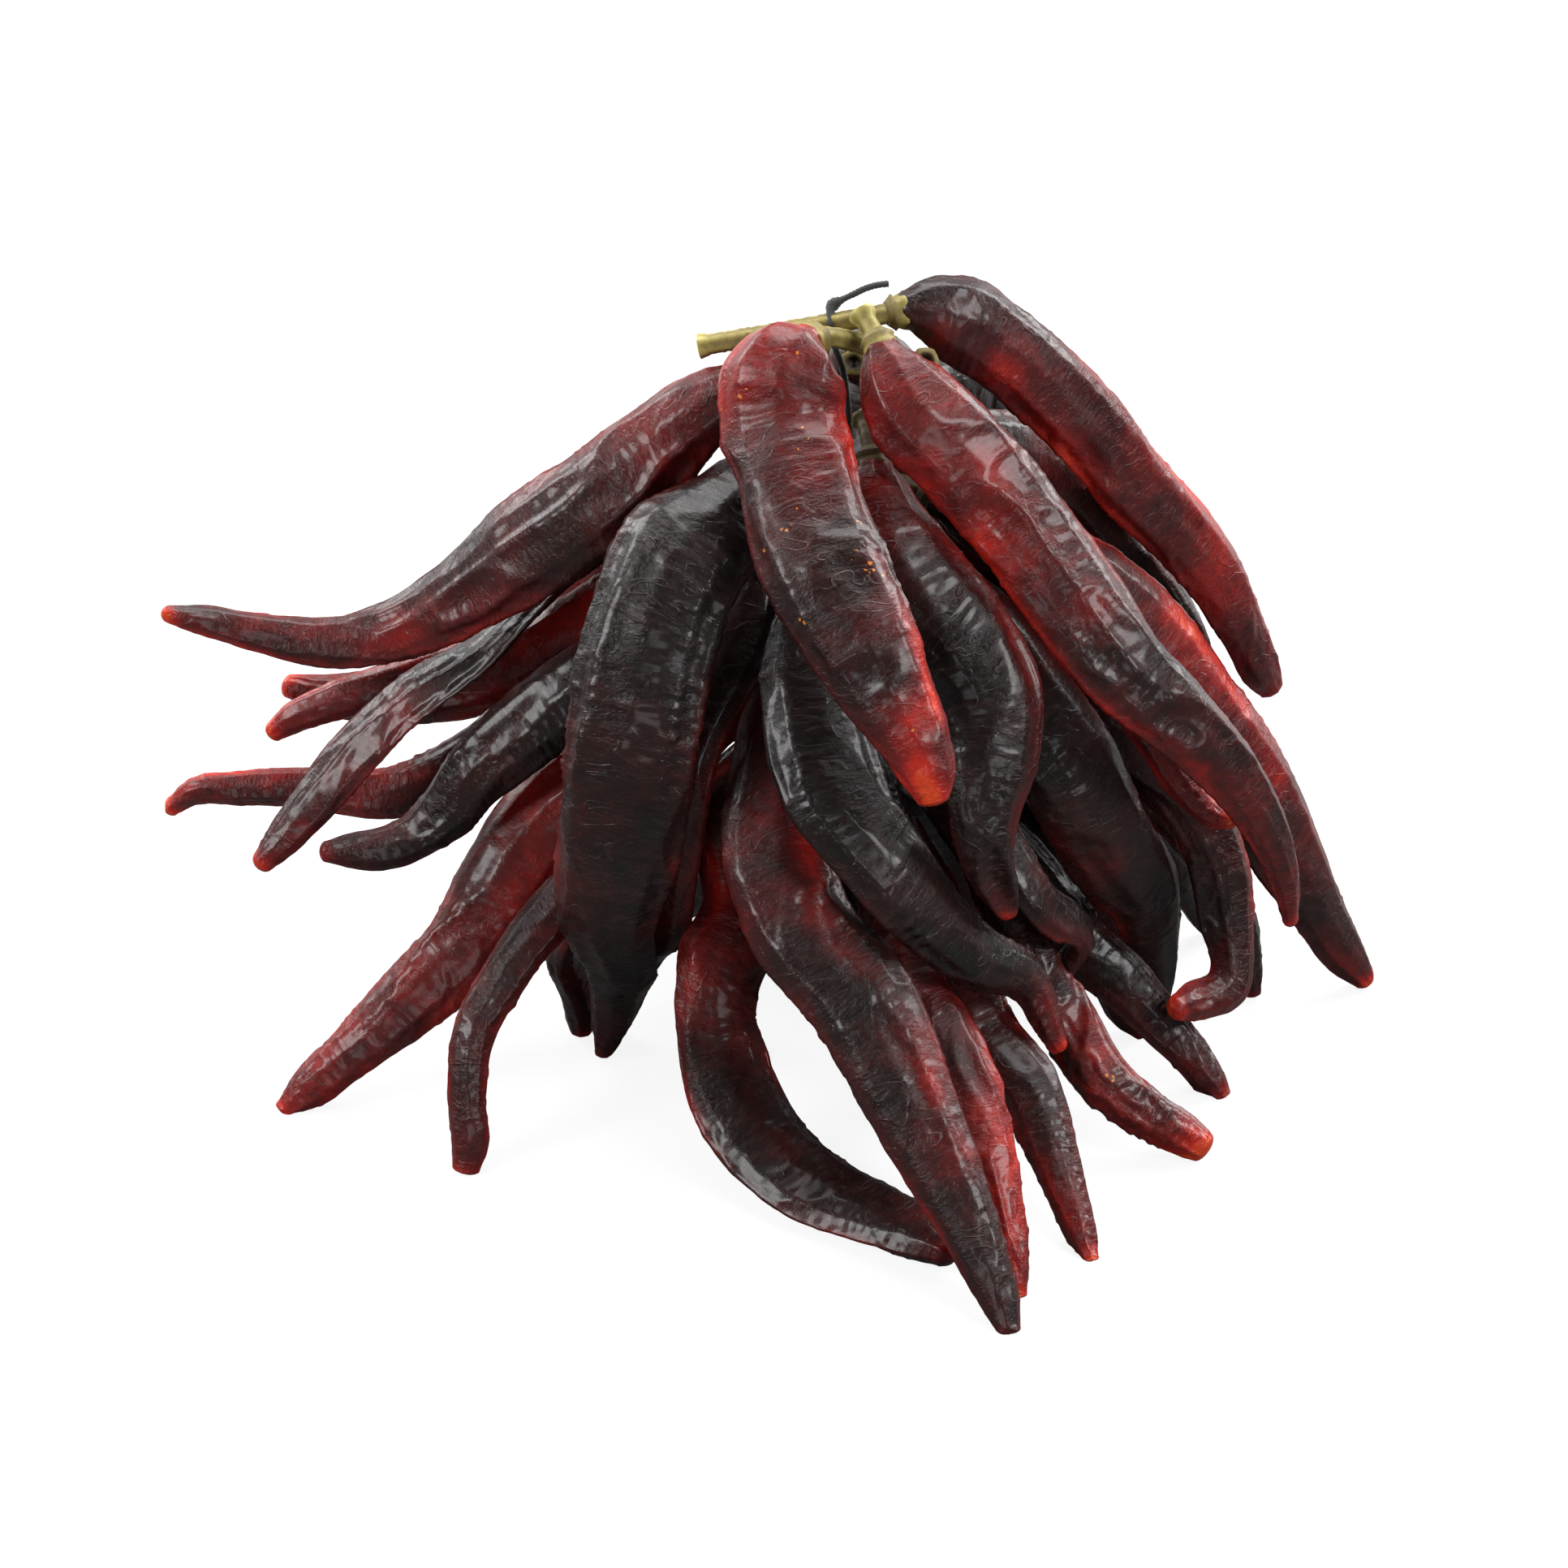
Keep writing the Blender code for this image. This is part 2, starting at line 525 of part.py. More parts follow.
def main():
    for obj in list(bpy.data.objects):
        bpy.data.objects.remove(obj)
    skin = material("chilli_skin", (0.06, 0.008, 0.008), 0.35)
    stem_material = material("chilli_stem", (0.42, 0.35, 0.1), 0.6)
    thread_material = material("black_thread", (0.02, 0.022, 0.02), 0.8)
    lines = [Line(chilli) for chilli in CHILLIES]
    thread = thread_line()
    bite = make_room(lines, thread)
    print(f"deepest overlap left between two pods: {bite:.2f} mm")
    meshes = [chilli_mesh(line, k, skin, stem_material) for k, line in enumerate(lines)]
    meshes.append(thread_mesh(thread, thread_material))
    print("moved by", stand_at_origin(meshes).round(1))
    for mesh in meshes:
        bpy.context.scene.collection.objects.link(bpy.data.objects.new(mesh.name, mesh))


main()
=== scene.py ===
"""The looks of a string of dried chillies. Every pod's skin is worked out from its solid's own rings: they
are read back from the frame, joined by smooth curves, and then creased, dented and rippled as drying does
it. The stems and the thread are read back in the same way. Lengths are in millimetres until a mesh is made,
and in metres for the room and the materials.
"""

import math
from collections import defaultdict
from typing import NamedTuple

import bpy
import numpy as np
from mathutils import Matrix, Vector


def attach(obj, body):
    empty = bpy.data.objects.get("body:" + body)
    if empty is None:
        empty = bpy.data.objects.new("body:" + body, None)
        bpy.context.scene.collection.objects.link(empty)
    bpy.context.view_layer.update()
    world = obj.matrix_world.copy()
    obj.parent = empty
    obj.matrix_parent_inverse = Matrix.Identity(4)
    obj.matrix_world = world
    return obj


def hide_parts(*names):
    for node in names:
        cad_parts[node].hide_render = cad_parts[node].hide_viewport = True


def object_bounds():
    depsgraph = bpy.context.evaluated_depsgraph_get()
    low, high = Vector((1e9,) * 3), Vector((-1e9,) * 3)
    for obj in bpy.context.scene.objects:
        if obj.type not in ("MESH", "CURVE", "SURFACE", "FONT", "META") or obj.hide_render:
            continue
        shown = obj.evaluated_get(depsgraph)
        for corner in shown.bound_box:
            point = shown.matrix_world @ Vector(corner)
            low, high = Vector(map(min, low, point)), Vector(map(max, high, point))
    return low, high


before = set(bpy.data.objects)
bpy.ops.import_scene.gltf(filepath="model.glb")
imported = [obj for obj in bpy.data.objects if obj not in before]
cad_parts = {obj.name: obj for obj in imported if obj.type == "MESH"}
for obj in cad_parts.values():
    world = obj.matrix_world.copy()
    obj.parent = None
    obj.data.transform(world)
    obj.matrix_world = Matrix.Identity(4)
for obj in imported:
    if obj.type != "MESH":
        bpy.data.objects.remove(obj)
cad_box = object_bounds()

MM = 0.001

# How the solids are made
CHILLI_SIDES = 8  # points in each of a chilli's rings
THREAD_SIDES = 6  # points in each of the thread's rings
STEM_RINGS = 4  # rings from a stem's free end to the pod's neck
WELD_DECIMALS = 7  # points that agree to this many decimals of a metre are one
OBLIQUE = (0.3, 0.2, 0.93)  # a way that no chilli runs along

# Fineness of the skins
SHOWN_STEP = 0.66  # between two rows of points
SHOWN_SIDES = 56  # points in each row
HIDDEN_STEP = 1.0  # for pods at the back, inside or mostly covered
HIDDEN_SIDES = 40
LEAST_ROWS = 8
CORNERS = 0.65  # 0 rounds a pod's section off fully, 1 leaves it with flat sides

# A pod's ends
DOME_RINGS = 7
NECK_DOME = 2.4  # how far the skin's neck rounds off into the calyx
NECK_SCALE = 0.66  # width of the skin's neck, where the solid's is 1

SEED = 11


class Look(NamedTuple):
    """How one pod looks. The tones run from calyx to tip: 0 is near black, 0.5 maroon and 1 orange red.
    Turns are in degrees round the pod, from the line that faces the camera."""

    tones: tuple
    tip: float = 0.6  # added to the tone at the tip
    edge: float = 0.18  # added along the two side edges, a painted glow of light through the thin skin
    patches: float = 0.26  # how much the tone varies in patches
    dents: float = 0.6  # depth of the dents that tile the skin
    wrinkles: float = 0.22  # height of the thin winding wrinkles
    ripples: float = 0.14  # height of the fine cross ripples
    band: tuple = (-30, 0.5)  # turn and, in radians, half width of the band where ripples are strongest
    crease: float = 0.6  # height of the side edges' crease
    fold: tuple = ()  # turn and height of a fold along the pod
    specks: float = 0.0  # how many orange specks there are
    # The redder strips are partly the skin's own red and partly a painted glow of back light through it
    strips: tuple = ()  # turn, first and last share of the length and added tone of each redder strip
    marks: tuple = ()  # share of the length, turn, length, width, depth and added tone of each deep dent


LOOKS = {
    "top_left": Look((0.3, 0.32, 0.4, 0.34, 0.36, 0.4), 0.5, ripples=0.06, fold=(35, 0.9),
                     strips=((-75, 0.5, 0.95, 0.22),),
                     marks=((0.17, -20, 14, 9, 1.3, 0), (0.5, 20, 20, 8, 1.0, 0))),
    "top_front": Look((0.58, 0.56, 0.42, 0.28, 0.34, 0.5, 0.62), 0.06, dents=0.5, ripples=0.04, specks=1,
                      strips=((-55, 0.5, 0.86, 0.42), (10, 0.8, 1.0, 0.14)),
                      marks=((0.93, 0, 12, 8, 0.5, 0.1), (0.56, -10, 14, 12, 0.7, 0),
                             (0.72, 25, 9, 14, 0.8, 0), (0.82, -20, 14, 12, 0.5, 0.1))),
    "top_right_front": Look((0.5, 0.44, 0.34, 0.26, 0.3, 0.38, 0.54), 0.4, ripples=0.06, edge=0.22,
                            strips=((65, 0.3, 0.98, 0.36), (-60, 0.1, 0.5, 0.1)),
                            marks=((0.28, -8, 24, 12, 1.4, 0.02), (0.62, 10, 15, 9, 1.1, 0))),
    "top_right": Look((0.24, 0.4, 0.46, 0.42, 0.46), 0.2, ripples=0.06, fold=(25, 0.9),
                      strips=((40, 0.15, 0.6, 0.25),), marks=((0.4, 10, 20, 10, 1.2, 0.15),)),
    "top_right_back": Look((0.12, 0.2, 0.28)),
    "left_upper_back": Look((0.3, 0.4, 0.5, 0.6), 0.4),
    "left_upper": Look((0.5, 0.68, 0.74, 0.6, 0.54, 0.6), 0.4, patches=0.16, ripples=0.06),
    "left_folded": Look((0.14, 0.2, 0.22, 0.34), 0.5, fold=(0, 0.9)),
    "left_middle": Look((0.5, 0.38, 0.3, 0.4, 0.54), 0.5, strips=((50, 0.1, 0.7, 0.16),)),
    "left_front_middle": Look((0.1, 0.12, 0.14, 0.26), 0.3, ripples=0.3),
    "left_low": Look((0.36, 0.46, 0.52, 0.5), 0.3, dents=0.45, ripples=0.08, fold=(60, 0.8),
                     strips=((-50, 0.2, 0.95, 0.24),)),
    "left_low_front": Look((0.26, 0.32, 0.34, 0.34), 0.3, strips=((-60, 0.1, 0.5, 0.2),)),
    "front_left_broad": Look((0.1, 0.08, 0.08, 0.2, 0.36), 0.3, ripples=0.5, band=(-15, 0.35),
                             fold=(-50, 0.9), specks=0.9, strips=((-75, 0.3, 0.9, 0.2),)),
    "front_left_low": Look((0.2, 0.2), 0.3),
    "front_left_inner": Look((0.2, 0.4, 0.52, 0.4, 0.4), 0.6),
    "front_ribbon": Look((0.28, 0.32, 0.3, 0.24, 0.3), 0.2, dents=0.5, edge=0.2,
                         strips=((50, 0.05, 0.65, 0.3),)),
    "front_long": Look((0.5, 0.34, 0.16, 0.1, 0.16, 0.34), 0.3, dents=0.45, ripples=0.08, edge=0.3,
                       strips=((-48, 0.15, 0.8, 0.34), (70, 0.4, 0.9, 0.2))),
    "front_low": Look((0.3, 0.42, 0.5, 0.58), 0.3, dents=1.3, specks=0.8),
    "front_dark": Look((0.02, 0.0, 0.0, 0.06, 0.36), 0.4, ripples=0.5, band=(10, 0.4), fold=(40, 0.8)),
    "front_short": Look((0.44, 0.2, 0.04, 0.04, 0.16), 0.6, ripples=0.35, band=(-20, 0.5),
                        strips=((-75, 0.2, 0.8, 0.2),), marks=((0.9, -5, 22, 6, 1.8, 0.15),)),
    "front_right_inner": Look((0.1, 0.16, 0.3)),
    "front_right_low": Look((0.34, 0.38, 0.28, 0.34), 0.5, ripples=0.3, strips=((50, 0.3, 0.95, 0.26),)),
    "front_right_withered": Look((0.4, 0.48, 0.52, 0.56), 0.5, dents=2.1, wrinkles=0.5, ripples=0.4,
                                 patches=0.5, specks=1.05),
    "right_front": Look((0.2, 0.18, 0.16, 0.2, 0.3), 0.3, ripples=0.45, band=(10, 0.6)),
    "right_hooked": Look((0.16, 0.1, 0.08, 0.24, 0.56), 0.3, strips=((-70, 0.3, 0.8, 0.3),),
                         marks=((0.94, 0, 7, 5, 0.5, 0.1),)),
    "right_small": Look((0.2, 0.36, 0.66), 0.4),
    "right_outer": Look((0.46, 0.46, 0.3, 0.2), 0.7, edge=0.3,
                        strips=((-60, 0.35, 0.75, 0.34), (20, 0.9, 1.0, 0.3))),
    "right_low_back": Look((0.14, 0.24), 0.3, strips=((40, 0.3, 0.9, 0.3),)),
    "right_low_inner": Look((0.1, 0.12), 0.3),
    "right_low": Look((0.14, 0.22, 0.32), 0.4),
    "right_back": Look((0.2, 0.34, 0.42), 0.3),
}
INNER_TONES = (0.06, 0.1, 0.2)
BACK_TONES = (
    (0.3, 0.4, 0.36, 0.44),
    (0.08, 0.05, 0.08, 0.2),
    (0.6, 0.5, 0.34, 0.42),
    (0.16, 0.22, 0.3, 0.34),
    (0.42, 0.56, 0.5, 0.46),
)


def look_of(name, index):
    if name in LOOKS:
        return LOOKS[name]
    if name.startswith("inner"):
        return Look(INNER_TONES)
    return Look(BACK_TONES[index % len(BACK_TONES)])


# ---- small helpers -----------------------------------------------------------------------------------


def unit(vector):
    return vector / np.linalg.norm(vector)


def lengths_along(centres):
    """How far along the line through these points each of them lies."""
    return np.concatenate([[0], np.cumsum(np.linalg.norm(np.diff(centres, axis=0), axis=1))])


def wrapped(angle):
    """The same angle, between -pi and pi."""
    return np.angle(np.exp(1j * angle))


def smooth(t):
    """0 below 0, 1 above 1, and a smooth rise between."""
    t = np.clip(t, 0.0, 1.0)
    return t * t * (3 - 2 * t)


def bell(away):
    """1 at 0, and a smooth fall on either side to nearly 0 at 2."""
    return np.exp(-(away**2))


# ---- reading the solids back -------------------------------------------------------------------------


def welded(node):
    """The node's points in millimetres, each once, and which points are joined by an edge."""
    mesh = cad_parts[node].data
    loose = np.empty(len(mesh.vertices) * 3)
    mesh.vertices.foreach_get("co", loose)
    rounded = np.round(loose.reshape(-1, 3), WELD_DECIMALS)
    points, index = np.unique(rounded, axis=0, return_inverse=True)
    joined = defaultdict(set)
    for polygon in mesh.polygons:
        corners = [int(index[v]) for v in polygon.vertices]
        for a, b in zip(corners, corners[1:] + corners[:1]):
            joined[a].add(b)
            joined[b].add(a)
    return points / MM, joined


def layers(first, joined):
    """Sets of points: first, then those one edge away, two edges away and so on."""
    found = [set(first)]
    seen = set(first)
    while found[-1]:
        around = set().union(*(joined[v] for v in found[-1])) - seen
        seen |= around
        found.append(around)
    return found[:-1]


def in_order(points, centre, along):
    """A ring's points, ordered by their angle about its centre line."""
    level = unit(np.cross(along, OBLIQUE))
    upright = np.cross(along, level)
    offset = points - centre
    return points[np.argsort(np.arctan2(offset @ upright, offset @ level))]


def best_turned(ring, centre, model, model_centre):
    """The ring, started at the point that lies nearest to where the model ring starts."""
    turns = [np.roll(ring, k, axis=0) for k in range(len(ring))]
    misses = [np.abs(turn - centre - (model - model_centre)).sum() for turn in turns]
    return turns[int(np.argmin(misses))]


def chilli_rings(node):
    """(rings from the stem's free end on, tip). Each ring starts at one of the pod's two side edges."""
    points, joined = welded(node)
    ends = [v for v in joined if len(joined[v]) == CHILLI_SIDES]
    tip = max(ends, key=lambda v: math.hypot(points[v][0], points[v][1]))
    sets = [sorted(layer) for layer in layers([tip], joined)[1:]]
    rings = [points[layer] for layer in reversed(sets)]
    centres = np.array([ring.mean(axis=0) for ring in rings] + [points[tip]])
    ways = np.gradient(centres, axis=0)
    ordered = [in_order(*three) for three in zip(rings, centres, ways)]
    broad = STEM_RINGS + (len(rings) - STEM_RINGS) // 3  # its side edges are the farthest from its centre
    reach = np.linalg.norm(ordered[broad] - centres[broad], axis=1)
    ordered[broad] = np.roll(ordered[broad], -int(np.argmax(reach)), axis=0)
    for k in range(broad + 1, len(rings)):
        ordered[k] = best_turned(ordered[k], centres[k], ordered[k - 1], centres[k - 1])
    for k in range(broad - 1, -1, -1):
        ordered[k] = best_turned(ordered[k], centres[k], ordered[k + 1], centres[k + 1])
    return np.array(ordered), points[tip]


# ---- curves and noise --------------------------------------------------------------------------------


def around_rings(rings, sides):
    """More points round each ring, between the smoothest closed curve through its own and flat sides."""
    count = rings.shape[1]
    waves = np.fft.rfft(rings, axis=1)
    waves[:, count // 2] *= 0.5  # the shortest wave is split between its two signs
    more = np.zeros((len(rings), sides // 2 + 1, 3), complex)
    more[:, : count // 2 + 1] = waves
    rounded = np.fft.irfft(more, n=sides, axis=1) * sides / count
    place = np.arange(sides) * count / sides
    before = np.floor(place).astype(int)
    part = (place - before)[None, :, None]
    flat = rings[:, before] * (1 - part) + rings[:, (before + 1) % count] * part
    return rounded * (1 - CORNERS) + flat * CORNERS


def along_rings(values, knots, wanted):
    """Values at the wanted distances, on smooth curves through those at the knots."""
    steps = np.diff(knots)
    shape = (-1,) + (1,) * (values.ndim - 1)
    slopes = np.diff(values, axis=0) / steps.reshape(shape)
    tangents = np.empty_like(values)
    tangents[0] = slopes[0]
    tangents[-1] = slopes[-1]
    before, after = steps[:-1].reshape(shape), steps[1:].reshape(shape)
    tangents[1:-1] = (slopes[:-1] * after + slopes[1:] * before) / (before + after)
    k = np.clip(np.searchsorted(knots, wanted, side="right") - 1, 0, len(steps) - 1)
    t = ((wanted - knots[k]) / steps[k]).reshape(shape)
    step = steps[k].reshape(shape)
    return (
        (2 * t**3 - 3 * t**2 + 1) * values[k]
        + (t**3 - 2 * t**2 + t) * step * tangents[k]
        + (3 * t**2 - 2 * t**3) * values[k + 1]
        + (t**3 - t**2) * step * tangents[k + 1]
    )


def noise(rng, distance, angle, cell, around):
    """Soft noise from -1 to 1 over a pod's skin, in cells of this length and so many round the pod."""
    u = (distance - distance.min()) / cell
    v = np.mod(angle / (2 * math.pi), 1.0) * around
    table = rng.uniform(-1, 1, (int(u.max()) + 2, around))
    row, column = np.floor(u).astype(int), np.floor(v).astype(int) % around
    after = (column + 1) % around
    down, across = smooth(u - row), smooth(v - np.floor(v))
    upper = table[row, column] * (1 - across) + table[row, after] * across
    lower = table[row + 1, column] * (1 - across) + table[row + 1, after] * across
    return upper * (1 - down) + lower * down


def cells(rng, distance, angle, cell, around, slant):
    """(how far inside its cell each point lies, the cell's own number from 0 to 1). The cells tile the
    skin like the facets of a crumpled film."""
    u = (distance - distance.min()) / cell + slant * np.sin(angle + rng.uniform(0, 2 * math.pi))
    u = u - u.min()
    v = angle / (2 * math.pi) * around
    rows = int(u.max()) + 4
    centre_u = rng.uniform(0.1, 0.9, (rows, around))
    centre_v = rng.uniform(0.1, 0.9, (rows, around))
    number = rng.uniform(0, 1, (rows, around))
    row, column = np.floor(u).astype(int), np.floor(v).astype(int)
    nearest = np.full(u.shape, np.inf)
    second = np.full(u.shape, np.inf)
    owner = np.zeros(u.shape)
    for down in (-1, 0, 1):
        for across in (-1, 0, 1):
            r = np.clip(row + down, -1, rows - 2)
            c = (column + across) % around
            gap_u = r + centre_u[r + 1, c] - u
            gap_v = column + across + centre_v[r + 1, c] - v
            far = np.hypot(gap_u, gap_v)
            closer = far < nearest
            second = np.where(closer, nearest, np.minimum(second, far))
            owner = np.where(closer, number[r + 1, c], owner)
            nearest = np.where(closer, far, nearest)
    return second - nearest, owner


# ---- a pod's smooth skin -----------------------------------------------------------------------------

FRONT = np.array([0.0, -0.87, 0.5])  # from the bunch towards the camera


def dome(ring, centre, reach, turns):
    """Rings that round a surface off beyond its last ring, towards a point this reach from its centre."""
    return [centre + reach * math.sin(turn) + (ring - centre) * math.cos(turn) for turn in turns]


class Skin:
    """A pod's surface as a grid: one row for each ring and one column for each side."""

    def __init__(self, rings, tip, step, sides):
        rings = rings[STEM_RINGS - 1 :].copy()
        centres = rings.mean(axis=1)
        rings[0] = centres[0] + (rings[0] - centres[0]) * NECK_SCALE
        knots = lengths_along(centres)
        count = max(LEAST_ROWS, round(knots[-1] / step))
        distances = np.linspace(0, knots[-1], count + 1)
        body = along_rings(around_rings(rings, sides), knots, distances)
        neck_reach = unit(centres[0] - centres[1]) * NECK_DOME
        tip_reach = tip - centres[-1]
        tip_length = np.linalg.norm(tip_reach)
        turns = np.linspace(0, math.pi / 2, DOME_RINGS + 1)[1:-1]
        neck_dome = dome(body[0], centres[0], neck_reach, turns[::-1])
        tip_dome = dome(body[-1], centres[-1], tip_reach, turns)
        before = [-NECK_DOME * math.sin(turn) for turn in turns[::-1]]
        after = [knots[-1] + tip_length * math.sin(turn) for turn in turns]
        distance = np.array(before + list(distances) + after)

        self.points = np.array(neck_dome + list(body) + tip_dome)
        self.first = centres[0] + neck_reach
        self.last = tip
        self.sides = sides
        self.length = knots[-1] + tip_length
        self.distance = np.repeat(distance[:, None], sides, axis=1)  # from the neck's ring
        self.share = np.clip(self.distance / self.length, 0, 1)
        self.angle = np.tile(2 * math.pi * np.arange(sides) / sides, (len(distance), 1))
        outward = self.points - self.points.mean(axis=1, keepdims=True)
        self.radius = np.linalg.norm(outward, axis=2).mean(axis=1, keepdims=True)  # each row's mean
        self.normal = self.normals(outward)
        self.front = self.angle[0][np.argmax(outward @ FRONT, axis=1)][:, None]

    def normals(self, outward):
        down = np.gradient(self.points, axis=0)
        across = np.roll(self.points, -1, axis=1) - np.roll(self.points, 1, axis=1)
        normal = np.cross(across, down)
        normal /= np.maximum(np.linalg.norm(normal, axis=2, keepdims=True), 1e-9)
        flip = np.sign((normal * outward).sum(axis=2, keepdims=True))
        return normal * np.where(flip == 0, 1, flip)

    def turn_from(self, degrees):
        """Each point's angle from the line that lies this many degrees round from the front."""
        return wrapped(self.angle - self.front - math.radians(degrees))


# ---- a pod's relief and tone -------------------------------------------------------------------------

# Along the pod sizes are in millimetres, and round it in radians
FULL_RADIUS = 9.0  # a pod this thick has dents and folds of full height, and a thinner one lower ones
MOST_SIZE = 1.2  # a thicker one has them at most this many times as high
SUNK = 0.35  # how far the smooth skin lies below the solid's surface
NECK_FADE = 6.0  # over which the relief fades out at the neck
TIP_FADE = 3.0  # and at the tip

DENT_SLOPE = 0.4  # how far inside its rim a dent has its full depth, in cells
SHALLOWEST = 0.15  # depth of the shallowest dent where the deepest one's is 1
RIM_WIDTH = 0.13  # of the fold between two dents, in cells
WRINKLE_WIDTH = 0.55
LEAST_STEEPNESS = 0.04  # so that nothing is divided by 0 where a wrinkle's field is level

RIPPLE_LENGTH = (2.3, 2.9)  # from one ripple to the next
RIPPLES_ALL_OVER = 0.25
RIPPLES_IN_BAND = 1.3
GRAIN_HEIGHT = 0.08

CREASE_WIDTH = 0.13
LOOSE_FOLDS = 3  # in any place on a pod
LOOSE_FOLD_HEIGHT = (0.4, 0.9)
FOLD_START = (0.05, 0.2)  # share of the pod's length
FOLD_END = (0.75, 0.95)
FOLD_FADE = 0.15
FOLD_WANDER = 0.35
FOLD_WIDTH = 0.11
HOLLOW_AWAY = 0.45  # from the fold to the middle of the hollow beside it
HOLLOW_WIDTH = 0.3
HOLLOW_DEPTH = 0.6  # where the fold's height is 1

# Width of the painted glow along the side edges, in radians
EDGE_GLOW_WIDTH = 0.35
RELIEF_SHADE = 0.06  # painted shade: how much darker the dents and the band of ripples are
STRIP_FADE = 0.08  # share of the pod's length
STRIP_WANDER = 0.25
STRIP_WIDTH = 0.42
TIP_LENGTH = 6.0  # of the tone that is added at the tip
MARK_RIM_HEIGHT = 0.35  # where the mark's depth is 1
MARK_RIM_WIDTH = 0.2  # where the mark's half width is 1


def contour_lines(skin, field, width):
    """1 along the lines where the field is a whole number and 0 away from them, all of one width."""
    across = 2 * math.pi * skin.radius / skin.sides
    down = np.gradient(field, axis=0) / np.gradient(skin.distance, axis=0)
    over = (np.roll(field, -1, axis=1) - np.roll(field, 1, axis=1)) / (2 * across)
    steepness = np.maximum(np.hypot(down, over), LEAST_STEEPNESS)
    return bell(np.abs(field - np.round(field)) / steepness / width)


class Dents(NamedTuple):
    """One of the three sizes of dents that tile a pod's skin."""

    cell: float  # a dent's length along the pod
    around: int  # how many go round the pod
    slant: float  # how far their rows lean, in cells
    warp: float  # how much of the pod's warp they follow
    depth: float  # where the look's dents are 1
    rim: float  # height of the fold between two dents, likewise


BROAD_DENTS = Dents(24, 4, 0.4, 1.0, 0.75, 0.25)
FINE_DENTS = Dents(7, 4, 0.8, 0.6, 0.3, 0.16)
FINEST_DENTS = Dents(3.4, 5, 0.8, 0.4, 0.24, 0.14)


class Relief:
    """What drying has made of a pod's skin: the height over its smooth surface in millimetres and the tone
    at every point, with a pale bloom that is partly a painted sheen. Each step draws random numbers, so
    their order counts."""

    def __init__(self, skin, look, rng):
        self.skin = skin
        self.look = look
        self.rng = rng
        self.size = np.minimum(skin.radius / FULL_RADIUS, MOST_SIZE)
        self.height = np.zeros_like(skin.distance)
        self.crumple()
        self.ripple()
        self.fold()
        self.colour()
        self.mark()
        self.add_bloom_and_sheen()
        at_neck = smooth((skin.distance + NECK_DOME) / NECK_FADE)
        at_tip = smooth((skin.length - skin.distance) / TIP_FADE)
        self.height = (self.height - SUNK * self.size) * (at_neck * at_tip)

    def noise(self, cell, around, shift=0.0):
        """Soft noise from -1 to 1, in cells of this length and so many round the pod."""
        return noise(self.rng, self.skin.distance + shift, self.skin.angle, cell, around)

    def sway(self, cell):
        """Soft noise from -1 to 1 that changes along the pod only."""
        return noise(self.rng, self.skin.distance, self.skin.angle * 0, cell, 2)

    def patches(self, middle, contrast, cell, around):
        """1 in some patches of the skin and 0 in others. A higher middle makes more of them 1."""
        return smooth(middle + contrast * self.noise(cell, around))

    def dented(self, dents):
        """(how deep, rim) of dents that tile the skin. The rim is 1 on the fold between two dents."""
        distance = self.skin.distance + self.warp * dents.warp
        angle = self.skin.angle + self.warp_round
        edge, number = cells(self.rng, distance, angle, dents.cell, dents.around, dents.slant)
        deep = smooth(edge / DENT_SLOPE) * (SHALLOWEST + (1 - SHALLOWEST) * number)
        return deep, bell(edge / RIM_WIDTH)

    def crumple(self):
        """Dents of three sizes with folds between them, and thin winding wrinkles."""
        self.warp = 3.5 * self.noise(13, 4) + 1.2 * self.noise(5, 7)  # along the pod
        self.warp_round = 0.5 * self.noise(16, 3)
        broad, self.broad_rim = self.dented(BROAD_DENTS)
        self.fine, self.fine_rim = self.dented(FINE_DENTS)
        finest, self.finest_rim = self.dented(FINEST_DENTS)
        where_fine = self.patches(0.3, 1.4, 24, 3)
        self.where_finest = self.patches(0.1, 1.4, 18, 4)
        depth = BROAD_DENTS.depth * broad + FINE_DENTS.depth * self.fine * where_fine
        depth += FINEST_DENTS.depth * finest * self.where_finest
        rims = BROAD_DENTS.rim * self.broad_rim + FINE_DENTS.rim * self.fine_rim * where_fine
        rims += FINEST_DENTS.rim * self.finest_rim * self.where_finest
        self.height -= self.look.dents * self.size * depth
        self.height += self.look.dents * self.size * rims
        field = 1.5 * self.noise(8, 3, 0.5 * self.warp) + 0.8 * self.noise(4.5, 6)
        self.wrinkles = contour_lines(self.skin, field, WRINKLE_WIDTH) * self.patches(0.4, 1.6, 16, 3)
        self.height += self.look.wrinkles * self.wrinkles

    def ripple(self):
        """Cross ripples, strongest in the look's band, and a fine grain all over."""
        turn, half_width = self.look.band
        away = self.skin.turn_from(turn) + 0.3 * self.sway(25)
        self.band = bell(away / half_width) * smooth(0.7 + 1.2 * self.sway(18))
        ripple_length = self.rng.uniform(*RIPPLE_LENGTH)
        wave = 2 * math.pi * (self.skin.distance + 0.8 * self.warp) / ripple_length
        ribs = (0.5 + 0.5 * np.cos(wave)) ** 1.5 * self.patches(0.6, 1.4, 3, 9)
        strength = RIPPLES_ALL_OVER * self.where_finest + RIPPLES_IN_BAND * self.band
        self.height += self.look.ripples * ribs * strength
        self.height += GRAIN_HEIGHT * self.noise(1.5, 20)

    def fold(self):
        """A crease along either side edge, a few loose folds, and the look's own fold."""
        angle = self.skin.angle
        self.side = np.minimum(np.abs(wrapped(angle)), np.abs(wrapped(angle - math.pi)))
        from_crease = np.abs(self.side + 0.12 * self.noise(20, 2))
        self.height += self.look.crease * self.size * np.exp(-from_crease / CREASE_WIDTH)
        for _ in range(LOOSE_FOLDS):
            self.fold_along(self.rng.uniform(-180, 180), self.rng.uniform(*LOOSE_FOLD_HEIGHT))
        if self.look.fold:
            self.fold_along(*self.look.fold)

